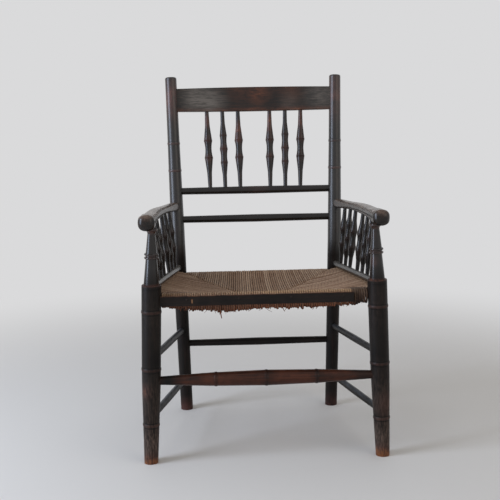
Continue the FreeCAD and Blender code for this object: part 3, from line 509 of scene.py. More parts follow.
@dataclass(frozen=True)
class BluedIron:
    """Iron of small forged tacks: a dull dark metal with rust freckles."""

    name: str = "blued_iron"
    blued: str = "#2f2c2a"
    rust: str = "#40261b"

    FRECKLE = 1.2 * MM

    def make(self) -> bpy.types.Material:
        """Builds the iron's shader.

        Returns:
            The finished material.
        """
        material, tree = blank_material(self.name)
        place = add_node(tree, "TexCoord").outputs["Object"]
        freckle = add_node(tree, "TexNoise", {"Vector": place, "Scale": 1 / self.FRECKLE, "Detail": 3.0}
                           ).outputs["Fac"]
        spots = add_node(tree, "MapRange", {"Value": freckle, "From Min": 0.5, "From Max": 0.7}).outputs[0]
        base = add_node(tree, "Mix", {0: spots, 6: linear(self.blued), 7: linear(self.rust)},
                        data_type="RGBA").outputs[2]
        metal = add_node(tree, "MapRange", {"Value": spots, "To Min": 1.0, "To Max": 0.2}).outputs[0]
        rough = add_node(tree, "MapRange", {"Value": freckle, "To Min": 0.35, "To Max": 0.7}).outputs[0]
        skin = add_node(tree, "BsdfPrincipled", {"Base Color": base, "Metallic": metal, "Roughness": rough})
        add_node(tree, "OutputMaterial", {"Surface": skin.outputs[0]})
        return material


def apply_finish(names: tuple[str, ...], finish: EbonisedBeech | BluedIron) -> None:
    """Gives solids of the frame one finish.

    Args:
        names: The solids.
        finish: Their finish.
    """
    material = finish.make()
    for name in names:
        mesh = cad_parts[name].data
        mesh.materials.clear()
        mesh.materials.append(material)
    LOG.info("%s: %s", finish.name, ", ".join(names))


# Reach of the wear on a turned ring, and place and reach of the dust beside it, in half widths of the
# ring. The last is the strength of the dust.
RING_WEAR = 1.2
DUST_PLACE = 1.3
DUST_REACH = 0.45
DUST_STRENGTH = 0.9


def ring_marks(places: tuple[float, ...], axis: Axis, half: float, strength: float
               ) -> tuple[tuple[Band, ...], tuple[Band, ...]]:
    """Wear on raised rings and the dark lines beside them.

    Args:
        places: Middles of the rings along the axis.
        axis: Way that the turning runs.
        half: Half the width of a ring.
        strength: How far the rings are rubbed.

    Returns:
        Bands of wear and bands of grime.
    """
    worn = tuple(Band(axis, place, half * RING_WEAR, strength) for place in places)
    lines = tuple(Band(axis, place + side * half * DUST_PLACE, half * DUST_REACH, DUST_STRENGTH)
                  for place in places for side in (-1, 1))
    return worn, lines


def mark_rub(names: tuple[str, ...], waist: float, swell: float) -> None:
    """Marks where a spindle swells out, because its swellings have lost their stain.

    Args:
        names: The spindles.
        waist: Radius that nothing rubs.
        swell: Radius that is rubbed most.
    """
    for name in names:
        points = points_of(name)
        off = points - points.mean(0)
        way = np.linalg.svd(off, full_matrices=False)[2][0]
        out = np.linalg.norm(off - np.outer(off @ way, way), axis=1)
        mark(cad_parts[name].data, "rub", np.clip((out - waist) / (swell - waist), 0, 1))


@dataclass
class Posts:
    """Four turned posts: ringed legs, arm supports and the raked uprights of the back."""

    leg_rings: tuple[float, ...] = (0.088, 0.213, 0.340)
    leg_ring_wear: float = 0.6
    back_rings: tuple[float, ...] = (0.619, 0.686)
    back_ring_wear: float = 0.5
    ring_half: float = 4.0 * MM
    front_foot: Band = Band(Axis.Z, 0.0, 0.045, 1.5)
    back_foot: Band = Band(Axis.Z, 0.0, 0.045, 0.55)
    kicked: tuple[Band, ...] = (
        Band(Axis.Z, 0.045, 0.050, 1.0), Band(Axis.Z, 0.130, 0.110, 0.35), Band(Axis.Z, 0.340, 0.080, 0.12))
    shoulder: Band = Band(Axis.Z, 0.399, 4.5 * MM, 0.9)
    shoulder_dust: Band = Band(Axis.Z, 0.390, 2.5 * MM, 0.6)
    support_ring: Band = Band(Axis.Z, 0.460, 9.0 * MM, 0.7)
    collar: Band = Band(Axis.Z, 0.514, 10.0 * MM, 1.0)
    rubbed: tuple[Spot, ...] = (
        Spot((-0.268, -0.200, 0.165), 0.028, 1.1), Spot((0.272, -0.200, 0.120), 0.050, 0.7),
        Spot((0.228, -0.200, 0.440), 0.022, 1.1), Spot((0.226, -0.200, 0.495), 0.018, 1.1))
    back_rubbed: Band = Band(Axis.Z, 0.800, 0.080, 0.75)
    top_dust: Band = Band(Axis.Z, 0.850, 5.0 * MM, 0.8)

    def dress(self) -> None:
        """Finishes the front and back posts."""
        worn, lines = ring_marks(self.leg_rings, Axis.Z, self.ring_half, self.leg_ring_wear)
        apply_finish(pair("front_post"), EbonisedBeech(
            "ebonised_front_posts", Axis.Z, roughness=(0.34, 0.5), shine=0.13,
            polish=0.65, polish_above=0.395, polish_rough=0.15,
            worn_bands=worn + (self.front_foot, self.shoulder, self.support_ring, self.collar),
            worn_spots=self.rubbed, scuff_bands=self.kicked, grime_and_shade_bands=lines + (self.shoulder_dust,)))
        worn, lines = ring_marks(self.back_rings, Axis.Z, self.ring_half, self.back_ring_wear)
        apply_finish(pair("back_post"), EbonisedBeech(
            "ebonised_back_posts", Axis.Z, worn="#5a3a34", roughness=(0.34, 0.5), shine=0.13,
            polish=0.9, polish_above=0.40, polish_rough=0.34,
            worn_bands=worn + (self.back_foot, self.back_rubbed), grime_and_shade_bands=lines + (self.top_dust,)))


@dataclass
class Stretchers:
    """Rods that tie the legs together, rubbed by heels."""

    ring_places: tuple[float, ...] = (-0.110, 0.0, 0.110)
    ring_dust: float = 8.4 * MM
    ring_grime: float = 0.5
    dark_ends: tuple[Band, ...] = (Band(Axis.X, -0.215, 0.045, 1.0), Band(Axis.X, 0.215, 0.045, 0.6))

    def dress(self) -> None:
        """Finishes the stretchers."""
        rings = tuple(Band(Axis.X, place, self.ring_dust, self.ring_grime) for place in self.ring_places)
        apply_finish(("front_stretcher",), EbonisedBeech(
            "heel_rubbed_stretcher", Axis.X, stain="#22140f", thin="#452519", worn="#5c3221", streaks=0.7,
            grime_and_shade_bands=rings + self.dark_ends, roughness=(0.28, 0.45), shine=0.2))
        apply_finish(("back_stretcher",), EbonisedBeech(
            "ebonised_back_stretcher", Axis.X, roughness=(0.3, 0.5), shine=0.12))
        # Their upper faces take a pale bluish colour: a painted highlight of the window light from above.
        apply_finish(pair("side_stretcher_upper") + pair("side_stretcher_lower"), EbonisedBeech(
            "ebonised_side_stretchers", Axis.Y, top="#4a4d52", roughness=(0.3, 0.45), shine=0.07))


@dataclass
class BackFrame:
    """Crest rail, two back rails and the spindles between them."""

    crest_edge: Band = Band(Axis.Z, 0.766, 10.0 * MM, 0.7)
    crest_rubbed: tuple[Spot, ...] = (
        Spot((0.015, 0.205, 0.808), 0.045, 1.0), Spot((-0.030, 0.205, 0.815), 0.050, 0.5),
        Spot((0.085, 0.200, 0.815), 0.060, 0.35))
    # Patches of hazy polish on the crest, partly a painted sheen of the window's reflection.
    crest_haze_and_sheen: tuple[Spot, ...] = (
        Spot((-0.140, 0.195, 0.797), 0.060, 1.2), Spot((-0.100, 0.200, 0.788), 0.050, 0.8),
        Spot((0.170, 0.190, 0.800), 0.065, 0.7), Spot((0.090, 0.195, 0.785), 0.040, 0.3))
    rail_rubbed: tuple[Spot, ...] = (Spot((0.0, 0.175, 0.567), 0.050, 0.5),)
    spindle_rubbed: tuple[Spot, ...] = (
        Spot((0.040, 0.195, 0.735), 0.040, 1.0), Spot((-0.040, 0.195, 0.715), 0.040, 1.1),
        Spot((0.118, 0.195, 0.735), 0.040, 0.9), Spot((-0.118, 0.195, 0.740), 0.030, 0.6))
    waist: float = 8.4 * MM
    swell: float = 10.4 * MM
    middle_waist: float = 7.8 * MM
    middle_swell: float = 10.0 * MM

    def dress(self) -> None:
        """Finishes the crest rail, the rails and the spindles."""
        apply_finish(("crest_rail",), EbonisedBeech(
            "ebonised_crest_rail", Axis.X, worn="#5a3322", streaks=0.35, worn_bands=(self.crest_edge,),
            worn_spots=self.crest_rubbed, bloom_and_sheen_spots=self.crest_haze_and_sheen, roughness=(0.28, 0.44), shine=0.36))
        apply_finish(("upper_back_rail", "lower_back_rail"), EbonisedBeech(
            "ebonised_back_rails", Axis.X, shine=0.4, worn_spots=self.rail_rubbed))
        outer = tuple(name for place in (1, 3) for name in pair(f"back_spindle_{place}"))
        middle = pair("back_spindle_2")
        mark_rub(outer, self.waist, self.swell)
        mark_rub(middle, self.middle_waist, self.middle_swell)
        apply_finish(outer + middle, EbonisedBeech(
            "ebonised_back_spindles", Axis.Z, worn="#5a342a", streaks=0.25, rub=0.4,
            worn_spots=self.spindle_rubbed, roughness=(0.24, 0.4), shine=0.38))


@dataclass
class ArmPair:
    """Arms, the rails below them and the spindles between.

    Attributes:
        waist: Radius of an arm spindle that nothing rubs.
        swell: Radius of an arm spindle that is rubbed most.
        spindles: Number of spindles below each arm.
        knob_front: Depth of the darkest part of the knobs, just ahead of their noses.
        knob_reach: Length of a knob.
        knob_painted_shade: How far the knobs are darkened with painted shade.
        knob_deep: Distance of the rubbed patch behind the nose.
        knob_rub: Reach of the rubbed patch.
        knob_bare: How far the patch is rubbed.
        knob_begin: Distance behind the nose where the rounding begins.
        knob_full: Distance behind the nose where it is full.
        knob_corner: Share of a corner that is left.
        nose_round: How far the nose's rim is worn back.
        nose_power: How late the rounding starts, from the nose's middle out.
        nose_rings: Rings of faces that the flat nose is cut into.
        nose_flat: Depth within which a face belongs to the nose.
        nose_facing: Least forward turn of a nose face, where -1 is straight ahead.
        weld: Distance within which vertices are one.
        crease: Least angle of an edge that stays sharp, in degrees.
    """

    waist: float = 7.4 * MM
    swell: float = 9.3 * MM
    spindles: int = 6
    knob_front: float = -0.222
    knob_reach: float = 0.036
    knob_painted_shade: float = 0.65
    knob_deep: float = 4.0 * MM
    knob_rub: float = 19.0 * MM
    knob_bare: float = 1.6
    knob_begin: float = 26.0 * MM
    knob_full: float = 14.0 * MM
    knob_corner: float = 0.25
    nose_round: float = 6.0 * MM
    nose_power: float = 2.2
    nose_rings: int = 6
    nose_flat: float = 0.1 * MM
    nose_facing: float = -0.999
    weld: float = 0.002 * MM
    crease: float = 35.0

    def dress(self) -> None:
        """Finishes the arms, their rails and their spindles."""
        # Upper faces take a colour that is partly hand wear and partly a painted sheen, and the knobs are
        # darkened with painted shade.
        apply_finish(pair("arm"), EbonisedBeech(
            "hand_rubbed_arms_painted_sheen_and_shade", Axis.Y, thin="#2a1f19", worn="#6b4a38", bare="#7d5f4a", top="#76665a",
            streaks=0.5, roughness=(0.16, 0.34), shine=0.36, worn_spots=self.knob_tops(),
            grime_and_shade_bands=(Band(Axis.Y, self.knob_front, self.knob_reach, self.knob_painted_shade),)))
        # Upper faces take a colour that is partly sleeve wear and partly a painted sheen of the window's
        # reflection.
        apply_finish(pair("arm_rail"), EbonisedBeech(
            "sleeve_rubbed_arm_rails_painted_sheen", Axis.Y, top="#625d57", roughness=(0.2, 0.36), shine=0.4))
        spindles = tuple(name for place in range(1, self.spindles + 1)
                         for name in pair(f"arm_spindle_{place}"))
        mark_rub(spindles, self.waist, self.swell)
        apply_finish(spindles, EbonisedBeech(
            "ebonised_arm_spindles", Axis.Z, rub=0.22, roughness=(0.2, 0.36), shine=0.32))
        self.round_knobs()

    def round_knobs(self) -> None:
        """Replaces the arms by copies with the knobs worn round."""
        for name in pair("arm"):
            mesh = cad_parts[name].data.copy()
            if "custom_normal" in mesh.attributes:
                mesh.attributes.remove(mesh.attributes["custom_normal"])
            form = bmesh.new()
            form.from_mesh(mesh)
            bmesh.ops.remove_doubles(form, verts=form.verts[:], dist=self.weld)
            front = min(vert.co.y for vert in form.verts)
            nose = [face for face in form.faces if face.normal.y < self.nose_facing
                    and face.calc_center_median().y < front + self.nose_flat]
            if nose:
                self.ring_nose(form, nose)
            self.wear_knob(form, front)
            form.to_mesh(mesh)
            form.free()
            mesh.shade_smooth()
            mesh.set_sharp_from_angle(angle=math.radians(self.crease))
            piece = bpy.data.objects.new(name + "_worn", mesh)
            bpy.context.scene.collection.objects.link(piece)
            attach(piece, BODY)
            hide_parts(name)
            LOG.info("%s: %d faces", piece.name, len(mesh.polygons))

    def ring_nose(self, form: bmesh.types.BMesh, nose: list[bmesh.types.BMFace]) -> None:
        """Fills the flat end of a knob with rings, so that it can be rounded.

        Args:
            form: Mesh of the arm.
            nose: Faces of the flat end.
        """
        inside = set(nose)
        rim = {vert for face in nose for edge in face.edges
               if any(other not in inside for other in edge.link_faces) for vert in edge.verts}
        rim = sorted(rim, key=lambda vert: vert.co[:])
        middle = sum((vert.co for vert in rim), Vector()) / len(rim)
        ring = sorted(rim, key=lambda vert: math.atan2(vert.co.z - middle.z, vert.co.x - middle.x))
        bmesh.ops.delete(form, geom=nose, context="FACES_ONLY")
        loose = [vert for vert in form.verts if not vert.link_faces]
        bmesh.ops.delete(form, geom=loose, context="VERTS")
        count = len(ring)
        for step in range(1, self.nose_rings):
            share = 1 - 1 / (self.nose_rings - step + 1)
            inner = [form.verts.new(middle + (vert.co - middle) * share) for vert in ring]
            for place in range(count):
                after = (place + 1) % count
                form.faces.new((ring[place], ring[after], inner[after], inner[place]))
            ring = inner
        tip = form.verts.new(middle)
        for place in range(count):
            form.faces.new((ring[place], ring[(place + 1) % count], tip))
        bmesh.ops.recalc_face_normals(form, faces=form.faces[:])

    def wear_knob(self, form: bmesh.types.BMesh, front: float) -> None:
        """Takes the corners off a knob and rounds its nose, inside the solid's outline.

        Args:
            form: Mesh of the arm.
            front: Depth of the knob's nose.
        """
        begin, full = front + self.knob_begin, front + self.knob_full
        knob = [vert for vert in form.verts if vert.co.y < begin]
        across, upward = ([vert.co[axis.value] for vert in knob] for axis in (Axis.X, Axis.Z))
        middle = (min(across) + max(across)) / 2, (min(upward) + max(upward)) / 2
        half = (max(across) - min(across)) / 2, (max(upward) - min(upward)) / 2
        for vert in knob:
            x, y, z = vert.co
            p, q = (x - middle[0]) / half[0], (z - middle[1]) / half[1]
            out = math.hypot(p, q)
            share = min(1.0, (begin - y) / (begin - full))
            share *= share * (3 - 2 * share)
            worn = min(out, 1 + self.knob_corner * (out - 1)) / out if out > 1 else 1.0
            scale = 1 + (worn - 1) * share
            fore = max(0.0, (full - y) / (full - front))
            back = self.nose_round * fore * min(1.0, out * worn) ** self.nose_power
            vert.co = middle[0] + p * half[0] * scale, y + back, middle[1] + q * half[1] * scale

    def knob_tops(self) -> tuple[Spot, ...]:
        """Finds the patches on top of the knobs that the hands have rubbed brown.

        Returns:
            One spot on each knob.
        """
        spots = []
        for name in pair("arm"):
            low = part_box(name)[0]
            points = points_of(name)
            front = points[points[:, 1] < low.y + self.knob_reach]
            middle = (front.min(0) + front.max(0)) / 2
            spots.append(Spot((float(middle[0]), low.y + self.knob_deep, float(front[:, 2].max())),
                              self.knob_rub, self.knob_bare))
        return tuple(spots)


@dataclass
class SeatFrame:
    """Hidden rails of the seat, the laths that cover the rush and their tacks.

    Attributes:
        fleck: Middle of a bare upright fleck on the front lath.
        fleck_step: Distance between the spots that make it up.
        fleck_reach: Reach of each spot.
        fleck_bare: How far each spot is rubbed.
        fleck_half: Spots above and below the middle one.
        edges: Rubbed upper and lower edges of the laths.
    """

    fleck: Point = (-0.157, -0.195, 0.362)
    fleck_step: float = 1.7 * MM
    fleck_reach: float = 2.3 * MM
    fleck_bare: float = 1.3
    fleck_half: int = 2
    edges: tuple[Band, ...] = (Band(Axis.Z, 0.3735, 1.6 * MM, 0.9), Band(Axis.Z, 0.3515, 1.4 * MM, 0.6))

    def dress(self) -> None:
        """Finishes the rails, laths and tacks."""
        apply_finish(("seat_rail_front", "seat_rail_back") + pair("seat_rail"), EbonisedBeech(
            "unstained_seat_rails", Axis.X, stain="#4a3526", thin="#5e4531", worn="#6d5038"))
        x, y, z = self.fleck
        flecks = tuple(Spot((x, y, z + step * self.fleck_step), self.fleck_reach, self.fleck_bare)
                       for step in range(-self.fleck_half, self.fleck_half + 1))
        apply_finish(("seat_strip_front",) + pair("seat_strip"), EbonisedBeech(
            "ebonised_laths", Axis.X, thin="#211b18", worn="#4f2f20", bare="#8a6547",
            worn_bands=self.edges, worn_spots=flecks, roughness=(0.35, 0.5), shine=0.15))
        apply_finish(("strip_pins",), BluedIron())


@dataclass
class CordMesh:
    """Collects tubes of rush into one mesh.

    Attributes:
        around: Points round a tube.
        painted_valley_shade: How dark the flanks of a cord are painted, a painted shade where it lies
            against the next.
        painted_valley_shade_power: How narrow those painted dark flanks are.
        points: Positions, one array for each tube.
        faces: Corners of the faces.
        marks: Numbers for the shader, one array for each tube.
        count: Points so far.
    """

    around: int = 12
    painted_valley_shade: float = 0.85
    painted_valley_shade_power: int = 3
    points: list[np.ndarray] = field(default_factory=list)
    faces: list[list[int]] = field(default_factory=list)
    marks: dict[str, list[np.ndarray]] = field(default_factory=dict)
    count: int = 0

    def add(self, path: np.ndarray, across: np.ndarray, wide: np.ndarray, thick: np.ndarray,
            **marks: np.ndarray) -> None:
        """Adds one tube, with painted shade on its flanks.

        Args:
            path: Points along the middle of the cord.
            across: Way from one cord to its neighbour, for each point.
            wide: Half the width at each point.
            thick: Half the thickness at each point.
            **marks: Numbers for the shader, one per point of the path.
        """
        run = np.concatenate([[0.0], np.cumsum(np.linalg.norm(np.diff(path, axis=0), axis=1))])
        tangent = np.gradient(path, axis=0)
        tangent /= np.linalg.norm(tangent, axis=1, keepdims=True)
        across = across - tangent * (across * tangent).sum(1, keepdims=True)
        across /= np.linalg.norm(across, axis=1, keepdims=True)
        outward = np.cross(tangent, across)
        turn = np.arange(self.around) / self.around
        angle = turn * 2 * math.pi
        rings = (path[:, None] + across[:, None] * (wide[:, None] * np.cos(angle))[..., None]
                 + outward[:, None] * (thick[:, None] * np.sin(angle))[..., None])
        rows = len(path)
        first = np.arange(rows - 1)[:, None] * self.around + np.arange(self.around)
        following = np.arange(rows - 1)[:, None] * self.around + (np.arange(self.around) + 1) % self.around
        quads = np.stack([first, following, following + self.around, first + self.around], axis=-1)
        self.faces += (quads.reshape(-1, 4) + self.count).tolist()
        ends = np.arange(self.around)
        self.faces += [(ends[::-1] + self.count).tolist(),
                       (ends + self.count + (rows - 1) * self.around).tolist()]
        self.points.append(rings.reshape(-1, 3))
        for name, values in {"run": run, **marks}.items():
            self.marks.setdefault(name, []).append(np.repeat(values, self.around))
        # Painted shade: the flanks, where one cord lies against the next, are darkened on top of the cord's
        # own soiling.
        flank_shade = self.painted_valley_shade * np.abs(np.cos(angle)) ** self.painted_valley_shade_power
        soiling_and_flank_shade = 1 - (1 - marks["dirt"])[:, None] * (1 - flank_shade)
        self.marks["dirt"][-1] = soiling_and_flank_shade.reshape(-1)
        self.marks.setdefault("turn", []).append(np.tile(turn, rows))
        self.count += rows * self.around

    def build(self, name: str, material: bpy.types.Material) -> bpy.types.Object:
        """Makes the object.

        Args:
            name: Name of the piece.
            material: Its finish.

        Returns:
            The new object, linked to the scene.
        """
        mesh = bpy.data.meshes.new(name)
        mesh.from_pydata(np.concatenate(self.points).tolist(), [], self.faces)
        for key, values in self.marks.items():
            mark(mesh, key, np.concatenate(values))
        mesh.shade_smooth()
        mesh.materials.append(material)
        piece = bpy.data.objects.new(name, mesh)
        bpy.context.scene.collection.objects.link(piece)
        return piece


@dataclass(frozen=True)
class CordWear:
    """How far the cords are rubbed pale and made darker, from 0 to 1, with a painted highlight on the front
    edge.

    Attributes:
        front_rub: Rubbing of the front edge.
        front_painted_highlight: How much more it is on the right and less on the left: a painted highlight
            where the right of the edge catches the light.
        other_rub: Rubbing of the other edges.
        back_least: Least rubbing of the back cords.
        rub_rise: How fast the rubbing grows round the rail.
        rub_start: How far round the rail it starts.
        rub_fade: Distance from the rail over which it fades.
        left_darkening: How much darker the cords are on the left of the seat.
        left_reach: Distance from the middle at which that darkening is full.
        hidden_darkening: Least darkening below the seat.
        hidden_more: Most that is added to it by chance.
        bare_soil: Soil of the cords that the broken lath no longer covers.
        bare_rub: Share of the rubbing that those cords have.
        bare_red: Share of the red underside that those cords have.
    """

    front_rub: float = 0.75
    front_painted_highlight: float = 0.25
    other_rub: float = 0.35
    back_least: float = 0.16
    rub_rise: float = 1.4
    rub_start: float = 0.2
    rub_fade: float = 9.0 * MM
    left_darkening: float = 0.3
    left_reach: float = 0.1
    hidden_darkening: float = 0.12
    hidden_more: float = 0.25
    bare_soil: float = 0.76
    bare_rub: float = 0.3
    bare_red: float = 0.4


@dataclass(frozen=True)
class BrokenLeaves:
    """Leaves that stick out of the cords below the front edge, one of them long.

    Attributes:
        count: Number of short leaves.
        length: Least and most length.
        lean: How far the leaves lean sideways, as a share of their length.
        width: Least and most half width.
        long_place: Place of the long leaf along the rail.
        long_length: Length of the long leaf.
        long_lean: How far the long leaf leans.
        long_width: Half width of the long leaf.
        inset: Least and most depth in the bend of the cords, as a share of the bend's radius.
        tuck: How far a leaf starts inside the cords.
        bow: How late a leaf starts to lean.
        curl: How far a leaf curls forward.
        curl_turn: Angle that the curl runs through.
        taper: Share of its width that a leaf loses towards the tip.
        flatness: Thickness as a share of the width.
        darkening: How dark a leaf is.
        points: Points along a leaf.
    """

    count: int = 60
    length: tuple[float, float] = (3.0 * MM, 8.0 * MM)
    lean: float = 0.6
    width: tuple[float, float] = (0.4 * MM, 1.0 * MM)
    long_place: float = -0.097
    long_length: float = 20.0 * MM
    long_lean: float = 0.12
    long_width: float = 1.7 * MM
    inset: tuple[float, float] = (0.2, 0.9)
    tuck: float = 3.0 * MM
    bow: float = 1.6
    curl: float = 1.5 * MM
    curl_turn: float = 3.0
    taper: float = 0.5
    flatness: float = 0.45
    darkening: float = 0.2
    points: int = 6


@dataclass(frozen=True)
class Packing:
    """Pad of loose leaves between the upper and lower cords.

    Attributes:
        rows: Points of the pad each way.
        across: Reach to each side, as a share of the way to the side rail.
        along: Begin and end, as shares of the way from the front rail to the back rail.
        sink: Distance from the cords' middles next to a post.
        deeper: How much larger that distance is away from the posts.
        near: Distance from a post's middle at which the pad starts to sink deeper.
        fade: Distance over which it does.
        clear: Distance from a post's middle that is kept free.
        marks: Numbers for the shader.
    """

    rows: int = 44
    across: float = 0.95
    along: tuple[float, float] = (0.035, 0.965)
    sink: float = 2.8 * MM
    deeper: float = 4.5 * MM
    near: float = 26.0 * MM
    fade: float = 20.0 * MM
    clear: float = 21.8 * MM
    marks: tuple[tuple[str, float], ...] = (
        ("run", 0.0), ("turn", 0.25), ("shade", 0.2), ("under", 0.4), ("worn", 0.0), ("dirt", 0.5))


@dataclass(frozen=True)
class CordRun:
    """Line of one cord, from its seam below the seat, round the rail, to its seam on top.

    Attributes:
        path: Points along the middle of the cord.
        across: Way to the next cord.
        reach: Distance from the rail of each point on the upper face, and of its twin below.
        swing: Angle of each point round the rail.
        start: Distance from the chair's middle at the rail, less than 0 on the left.
    """

    path: np.ndarray
    across: np.ndarray
    reach: np.ndarray
    swing: np.ndarray
    start: float


@dataclass
class RushSeat:
    """Rush cords wound over four rails, meeting in seams that run in from the corners.

    Attributes:
        finish: Look of the rush.
        wear: Rubbing and soil of the cords.
        leaves: Broken leaves below the front edge.
        packing: Pad between the two layers of cord.
        pitch: Distance from cord to cord.
        wrap_half: Half the thickness of a cord round a rail.
        run_half: Half the thickness of a cord between the rails.
        wrap: Radius of a cord's middle round a rail.
        sag: Dip of the upper face in the middle.
        belly: Dip of the lower face in the middle.
        dish_across: How flat the dip is from side to side.
        dish_along: How flat the dip is from front to back.
        side_power: How close to the side rails the cords take up their height.
        side_rise: How close to the front and back rails the side rails count.
        dive: How far a cord dips into its seam.
        dive_reach: Distance over which it dips.
        edge_fade: Distance over which a cord leaves the height of its rail.
        hang_fade: Distance over which a slack cord is taut again.
        post_gap: Room between the last cord and a post.
        swells: Place, reach and drop of the lower parts of the front edge.
        least_hang: Slack of every front cord.
        middle_hang: How much lower the middle of the front edge hangs.
        hang_power: How flat that hanging edge is in the middle.
        hang_uneven: How uneven the front edge is.
        other_slack: Most slack on the other rails.
        knot_place: Place of the cord that hangs lowest.
        knot_reach: Half the width of that place, in cords.
        knot_hang: Slack of that cord.
        strip_end: Place where the front lath is broken off.
        stray: How far a cord strays sideways.
        settle: How far a cord settles.
        lump: How lumpy a cord is, as a share of its width.
        lump_step: How fast the lumps follow each other, in radians per point.
        lump_shift: Most shift of the lumps, in radians.
        run_points: Points of a cord on each face.
        run_crowd: How the points crowd towards the seam.
        bend_points: Points of a cord round its rail.
        seam_steps: Steps of the search for a seam.
        rail_slice: Length of a rail's end that gives its axis.
        post_slice: Distance in height within which a post's points count.
        post_least: Number of points that the slice needs.
        post_nearest: Points that count if the slice has fewer.
        seed: Start of the random numbers.
    """

    finish: TwistedRush = TwistedRush()
    wear: CordWear = CordWear()
    leaves: BrokenLeaves = BrokenLeaves()
    packing: Packing = Packing()
    pitch: float = 4.9 * MM
    wrap_half: float = 1.75 * MM
    run_half: float = 2.2 * MM
    wrap: float = 10.25 * MM
    sag: float = 28.5 * MM
    belly: float = 22.0 * MM
    dish_across: float = 2.3
    dish_along: float = 0.9
    side_power: int = 3
    side_rise: float = 12.0
    dive: float = 6.0 * MM
    dive_reach: float = 8.0 * MM
    edge_fade: float = 18.0 * MM
    hang_fade: float = 30.0 * MM
    post_gap: float = 0.4 * MM
    swells: tuple[tuple[float, float, float], ...] = ((-0.085, 0.045, 6.0 * MM), (0.055, 0.030, 2.5 * MM))
    least_hang: float = 8.0 * MM
    middle_hang: float = 7.0 * MM
    hang_power: int = 4
    hang_uneven: float = 1.7 * MM
    other_slack: float = 0.5 * MM
    knot_place: float = -0.076
    knot_reach: float = 0.55
    knot_hang: float = 20.0 * MM
    strip_end: float = 0.190
    stray: float = 0.1 * MM
    settle: float = 0.25 * MM
    lump: float = 0.06
    lump_step: float = 0.9
    lump_shift: float = 6.0
    run_points: int = 17
    run_crowd: float = 0.85
    bend_points: int = 10
    seam_steps: int = 24
    rail_slice: float = 1.0 * MM
    post_slice: float = 12.0 * MM
    post_least: int = 9
    post_nearest: int = 40
    seed: int = 7

    def __post_init__(self) -> None:
        """Reads the rails and posts from the frame and starts the random numbers."""
        self.chance = np.random.default_rng(self.seed)
        low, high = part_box("seat_rail_front")
        self.front = (low + high) / 2
        low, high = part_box("seat_rail_back")
        self.back = (low + high) / 2
        points = points_of("seat_rail_right")
        depths = points[:, 1]
        self.side_near = points[depths < depths.min() + self.rail_slice].mean(0)
        self.side_far = points[depths > depths.max() - self.rail_slice].mean(0)
        self.depth = self.back.y - self.front.y
        self.front_post = self.post_at("front_post_right", self.front.z)
        self.back_post = self.post_at("back_post_right", self.back.z)

    def post_at(self, name: str, height: float) -> np.ndarray:
        """Measures a post at one height.

        Args:
            name: The post.
            height: Where it is measured.

        Returns:
            Its low and high corners in plan, as rows.
        """
        points = points_of(name)
        off = np.abs(points[:, 2] - height)
        near = points[off < self.post_slice]
        if len(near) < self.post_least:
            near = points[np.argsort(off)[:self.post_nearest]]
        return np.array([near[:, :2].min(0), near[:, :2].max(0)])

    def side_rail(self, y: np.ndarray | float) -> tuple[np.ndarray, np.ndarray]:
        """Finds the axis of the right-hand rail.

        Args:
            y: Depth on the chair.

        Returns:
            Distance from the middle and height at that depth.
        """
        share = (np.asarray(y, dtype=float) - self.side_near[1]) / (self.side_far[1] - self.side_near[1])
        line = self.side_near + np.multiply.outer(share, self.side_far - self.side_near)
        return line[..., 0], line[..., 2]

    def depth_at(self, v: np.ndarray | float) -> np.ndarray:
        """Depth on the chair for a share of the way from the front rail to the back rail."""
        return self.front.y + self.depth * np.asarray(v, dtype=float)

    def dish(self, u: np.ndarray, v: np.ndarray) -> np.ndarray:
        """Share of the full sag at a place on the seat."""
        return (1 - np.abs(u) ** self.dish_across) * np.clip(4 * v * (1 - v), 0, 1) ** self.dish_along

    def level(self, u: np.ndarray, v: np.ndarray) -> np.ndarray:
        """Finds the height of the plane of the rails' axes.

        Args:
            u: Share of the way from the middle to a side rail, less than 0 on the left.
            v: Share of the way from the front rail to the back rail.

        Returns:
            The height at that place on the seat.
        """
        rails = self.front.z + (self.back.z - self.front.z) * v
        side = self.side_rail(self.depth_at(v))[1]
        beside = np.abs(u) ** self.side_power * np.clip(self.side_rise * v * (1 - v), 0, 1)
        return rails + (side - rails) * beside

    def top(self, u: np.ndarray, v: np.ndarray) -> np.ndarray:
        """Height of the cords' middles on the upper face."""
        return self.level(u, v) + self.wrap - self.sag * self.dish(u, v)

    def under(self, u: np.ndarray, v: np.ndarray) -> np.ndarray:
        """Height of the cords' middles on the lower face."""
        return self.level(u, v) - self.wrap - self.belly * self.dish(u, v)

    def seam(self, side: Side, station: float) -> float:
        """Finds where a cord meets the seam, as its other coordinate.

        Args:
            side: Rail that the cord is wound over.
            station: u of a front or back cord, v of a side cord.

        Returns:
            v for a front or back cord, |u| for a side cord.
        """
        if side in (Side.LEFT, Side.RIGHT):
            half = float(self.side_rail(self.depth_at(station))[0])
            return max(0.0, 1 - min(station, 1 - station) * self.depth / half)
        low, high = 0.0, 0.5
        for _ in range(self.seam_steps):
            guess = (low + high) / 2
            half = float(self.side_rail(self.depth_at(guess if side is Side.FRONT else 1 - guess))[0])
            if (1 - abs(station)) * half > guess * self.depth:
                low = guess
            else:
                high = guess
        return low if side is Side.FRONT else 1 - low

    def rail_height(self, side: Side, v: float) -> float:
        """Finds the height of a rail's axis beside a cord.

        Args:
            side: Rail that the cord is wound over.
            v: Share of the way from the front rail to the back rail.

        Returns:
            The height.
        """
        if side in (Side.FRONT, Side.BACK):
            return self.front.z if side is Side.FRONT else self.back.z
        return float(self.side_rail(self.depth_at(v))[1])

